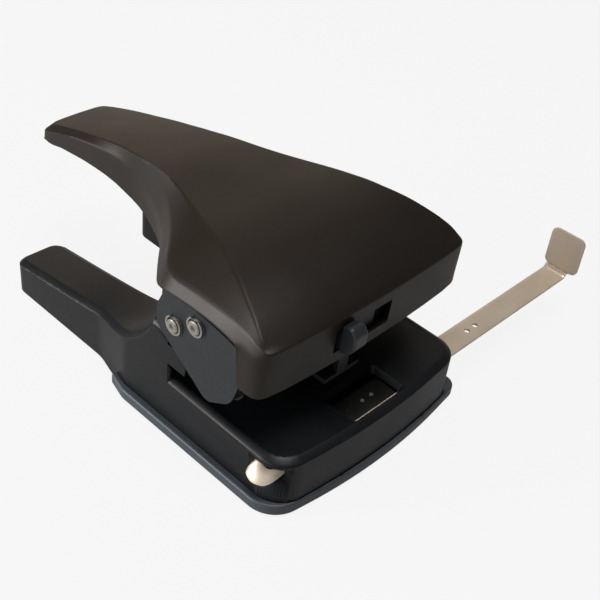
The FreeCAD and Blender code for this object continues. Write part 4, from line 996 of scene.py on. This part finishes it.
def buildShaft(node, name):
    x, y, z = middle(node)
    half, chamfer, (first, last) = shaft["half"], shaft["chamfer"], shaft["groove"]
    end, groove = shaft["endRadius"], shaft["grooveRadius"]
    rows = [(half - shaft["markDeep"], shaft["markTip"]), (half, shaft["markRadius"]),
            (half, end - chamfer), (half - chamfer, end), (last, end), (last, groove), (first, groove),
            (first, shaft["radius"])]
    rows = rows + [(-along, wide) for along, wide in reversed(rows)]
    sides = shaft["sides"]
    turns = [math.tau * k / sides for k in range(sides)]
    vertices = [(along, y + wide * math.cos(turn), z + wide * math.sin(turn)) for along, wide in rows
                for turn in turns]
    rings = [range(start, start + sides) for start in range(0, len(vertices), sides)]
    faces = [face for near, far in zip(rings, rings[1:]) for face in stripFaces(far, near)]
    faces += [tuple(rings[0]), tuple(reversed(rings[-1]))]
    mesh = meshFrom(name, vertices, faces)
    facesOut(mesh)
    piece = newObject(name, mesh)
    shadeSoft(mesh)
    finish(piece, "lever", materials["zincSteel"], [node])


studSizes = {"studRadius": scale["markRadius"] * mm, "studHigh": scale["markHigh"] * mm,
             "rimShare": 0.85, "dishShare": 0.62}
sunk = 0.05  # how deep a stud's middle sits in the scale


def studTree(sizes, material):
    # A low round stud with a dished top
    tree, given = startTree("studShape", sizes)
    radius, tall = given["studRadius"], given["studHigh"]
    body = cone(tree, 28, maths(tree, "MULTIPLY", radius, given["rimShare"]), radius, tall)
    dish = cone(tree, 28, maths(tree, "MULTIPLY", radius, given["dishShare"]), 0.0, tall)
    form = combined(tree, "DIFFERENCE", {"Mesh 1": body}, [raised(tree, dish, tall, 0.5)])
    return endTree(tree, given, form, material)


def buildStuds():
    share = scale["holeRadius"] / scale["markRadius"]
    # The second set is a single black disc at the scale's hole, painted shade standing in for the dark
    # inside of the hole
    for name, material, places, wide in (("scaleStuds", "zincSteel", scale["marks"], 1.0),
                                         ("scaleSocket", "blackSteel", [scale["hole"]], share)):
        tree = studTree(studSizes, materials[material])
        points = [((x, y, scale["high"] - sunk), upward, (wide, wide, 1.0)) for x, y in places]
        finish(grow(name, tree, studSizes, points), "guide_strip")


lip = {"inside": 64.0, "thick": 0.8, "low": 84.3, "high": 93.0, "front": -47.5, "back": 2.5,
       "steps": 10, "edge": 0.15}


def buildLips():
    # A rib down each side of the cover closes the gap over the cheek
    front, back, steps = lip["front"], lip["back"], lip["steps"]
    for side, sign in (("left", -1), ("right", 1)):
        rows = [[(sign * lip["inside"], front + (back - front) * k / steps, high)
                 for k in range(steps + 1)] for high in (lip["low"], lip["high"])]
        piece = sheetFrom(f"coverLip_{side}", rows, lip["thick"], lip["edge"])
        finish(piece, "lever", materials["leverPaint"])


buildLips()
buildGuide()
buildScale()
buildStuds()
buildClips()
buildScrews()
buildSprings()
buildFeet()
buildShaft("shaft_front", "shaftFront")
buildShaft("shaft_rear", "shaftRear")
print("clips, screws, springs, feet and shafts built")


# Floor, lights and camera

stage = {"size": 6000.0, "low": -0.0004, "colour": (0.42, 0.42, 0.42, 1.0), "white": 0.88,
         "floorGloss": 0.22, "sky": 0.11, "skyColour": (0.92, 0.95, 1.0, 1.0), "skyGloss": 0.05}


def seenRays(tree, gloss):
    # High for rays that show the background itself: to the camera, in gloss and through glass
    path = add(tree, "ShaderNodeLightPath", {}).outputs
    shine = maths(tree, "MULTIPLY", path["Is Glossy Ray"], gloss)
    total = maths(tree, "MAXIMUM", path["Is Camera Ray"], shine)
    return maths(tree, "MAXIMUM", total, path["Is Transmission Ray"])


def showBackground(tree, kind, share, lit, seen):
    mix = add(tree, "ShaderNodeMixShader", {"Fac": share, 1: lit.outputs[0], 2: seen.outputs[0]})
    add(tree, kind, {"Surface": mix.outputs[0]})


def buildStage():
    half = stage["size"] / 2
    corners = [(-half, -half, 0), (half, -half, 0), (half, half, 0), (-half, half, 0)]
    floor = newObject("floor", meshFrom("floor", corners, [(0, 1, 2, 3)]))
    floor.location.z = stage["low"]
    material = bpy.data.materials.new("floorPale")
    material.use_nodes = True
    tree = material.node_tree
    tree.nodes.clear()
    diffuse = add(tree, "ShaderNodeBsdfDiffuse", {"Color": stage["colour"]})
    glow = add(tree, "ShaderNodeEmission", {})
    share = maths(tree, "MULTIPLY", seenRays(tree, stage["floorGloss"]), stage["white"])
    showBackground(tree, "ShaderNodeOutputMaterial", share, diffuse, glow)
    paint(floor, material)


def buildWorld():
    world = bpy.data.worlds.new("studio")
    scene.world = world
    world.use_nodes = True
    tree = world.node_tree
    tree.nodes.clear()
    lit = add(tree, "ShaderNodeBackground", {"Color": stage["skyColour"], "Strength": stage["sky"]})
    seen = add(tree, "ShaderNodeBackground", {"Color": (1, 1, 1, 1)})
    showBackground(tree, "ShaderNodeOutputWorld", seenRays(tree, stage["skyGloss"]), lit, seen)


# Each lamp's place, size, power and tint
lamps = {
    "windowSoft": ((-1.1, 0.75, 0.34), 0.8, 18.0, (1.0, 0.985, 0.965)),
    "roomSoft": ((0.75, 1.0, 0.55), 1.3, 2.3, (1.0, 0.82, 0.62)),
    "ceilingSoft": ((-0.1, -0.2, 1.5), 0.7, 12.0, (1.0, 0.98, 0.95)),
    "sideSoft": ((-1.2, 0.05, 0.4), 0.8, 3.4, (0.93, 0.97, 1.0)),
}
lampAim = Vector((0.0, 0.02, 0.05))


def buildLamps():
    for name, (place, size, power, tint) in lamps.items():
        data = bpy.data.lights.new(name, "AREA")
        data.shape = "DISK"
        data.size, data.energy, data.color = size, power, tint
        lamp = newObject(name, data)
        lamp.location = place
        lamp.rotation_euler = (lampAim - lamp.location).to_track_quat("-Z", "Y").to_euler()


view = {
    "turn": -50.10, "rise": 38.02, "roll": 7.20, "far": 547.34, "focal": 1044.0,
    "aim": (30.04, 4.52, 30.0), "pixels": 600, "sensor": 36.0, "clip": (0.01, 20.0),
}


def buildCamera():
    turn, rise, roll = (math.radians(view[key]) for key in ("turn", "rise", "roll"))
    back = Vector((math.sin(turn) * math.cos(rise), -math.cos(turn) * math.cos(rise), math.sin(rise)))
    right = Vector((math.cos(turn), math.sin(turn), 0))
    up = back.cross(right)
    across = right * math.cos(roll) + up * math.sin(roll)
    above = up * math.cos(roll) - right * math.sin(roll)
    data = bpy.data.cameras.new("camera")
    data.sensor_fit = "HORIZONTAL"
    data.sensor_width = view["sensor"]
    data.lens = view["focal"] * view["sensor"] / view["pixels"]
    data.clip_start, data.clip_end = view["clip"]
    camera = newObject("camera", data)
    place = (Vector(view["aim"]) + back * view["far"]) * mm
    turned = Matrix((across, above, back)).transposed().to_4x4()
    camera.matrix_world = Matrix.Translation(place) @ turned
    scene.camera = camera


buildStage()
buildWorld()
buildLamps()
buildCamera()
scene.view_settings.view_transform = "Standard"
print("stage, lamps and camera ready")
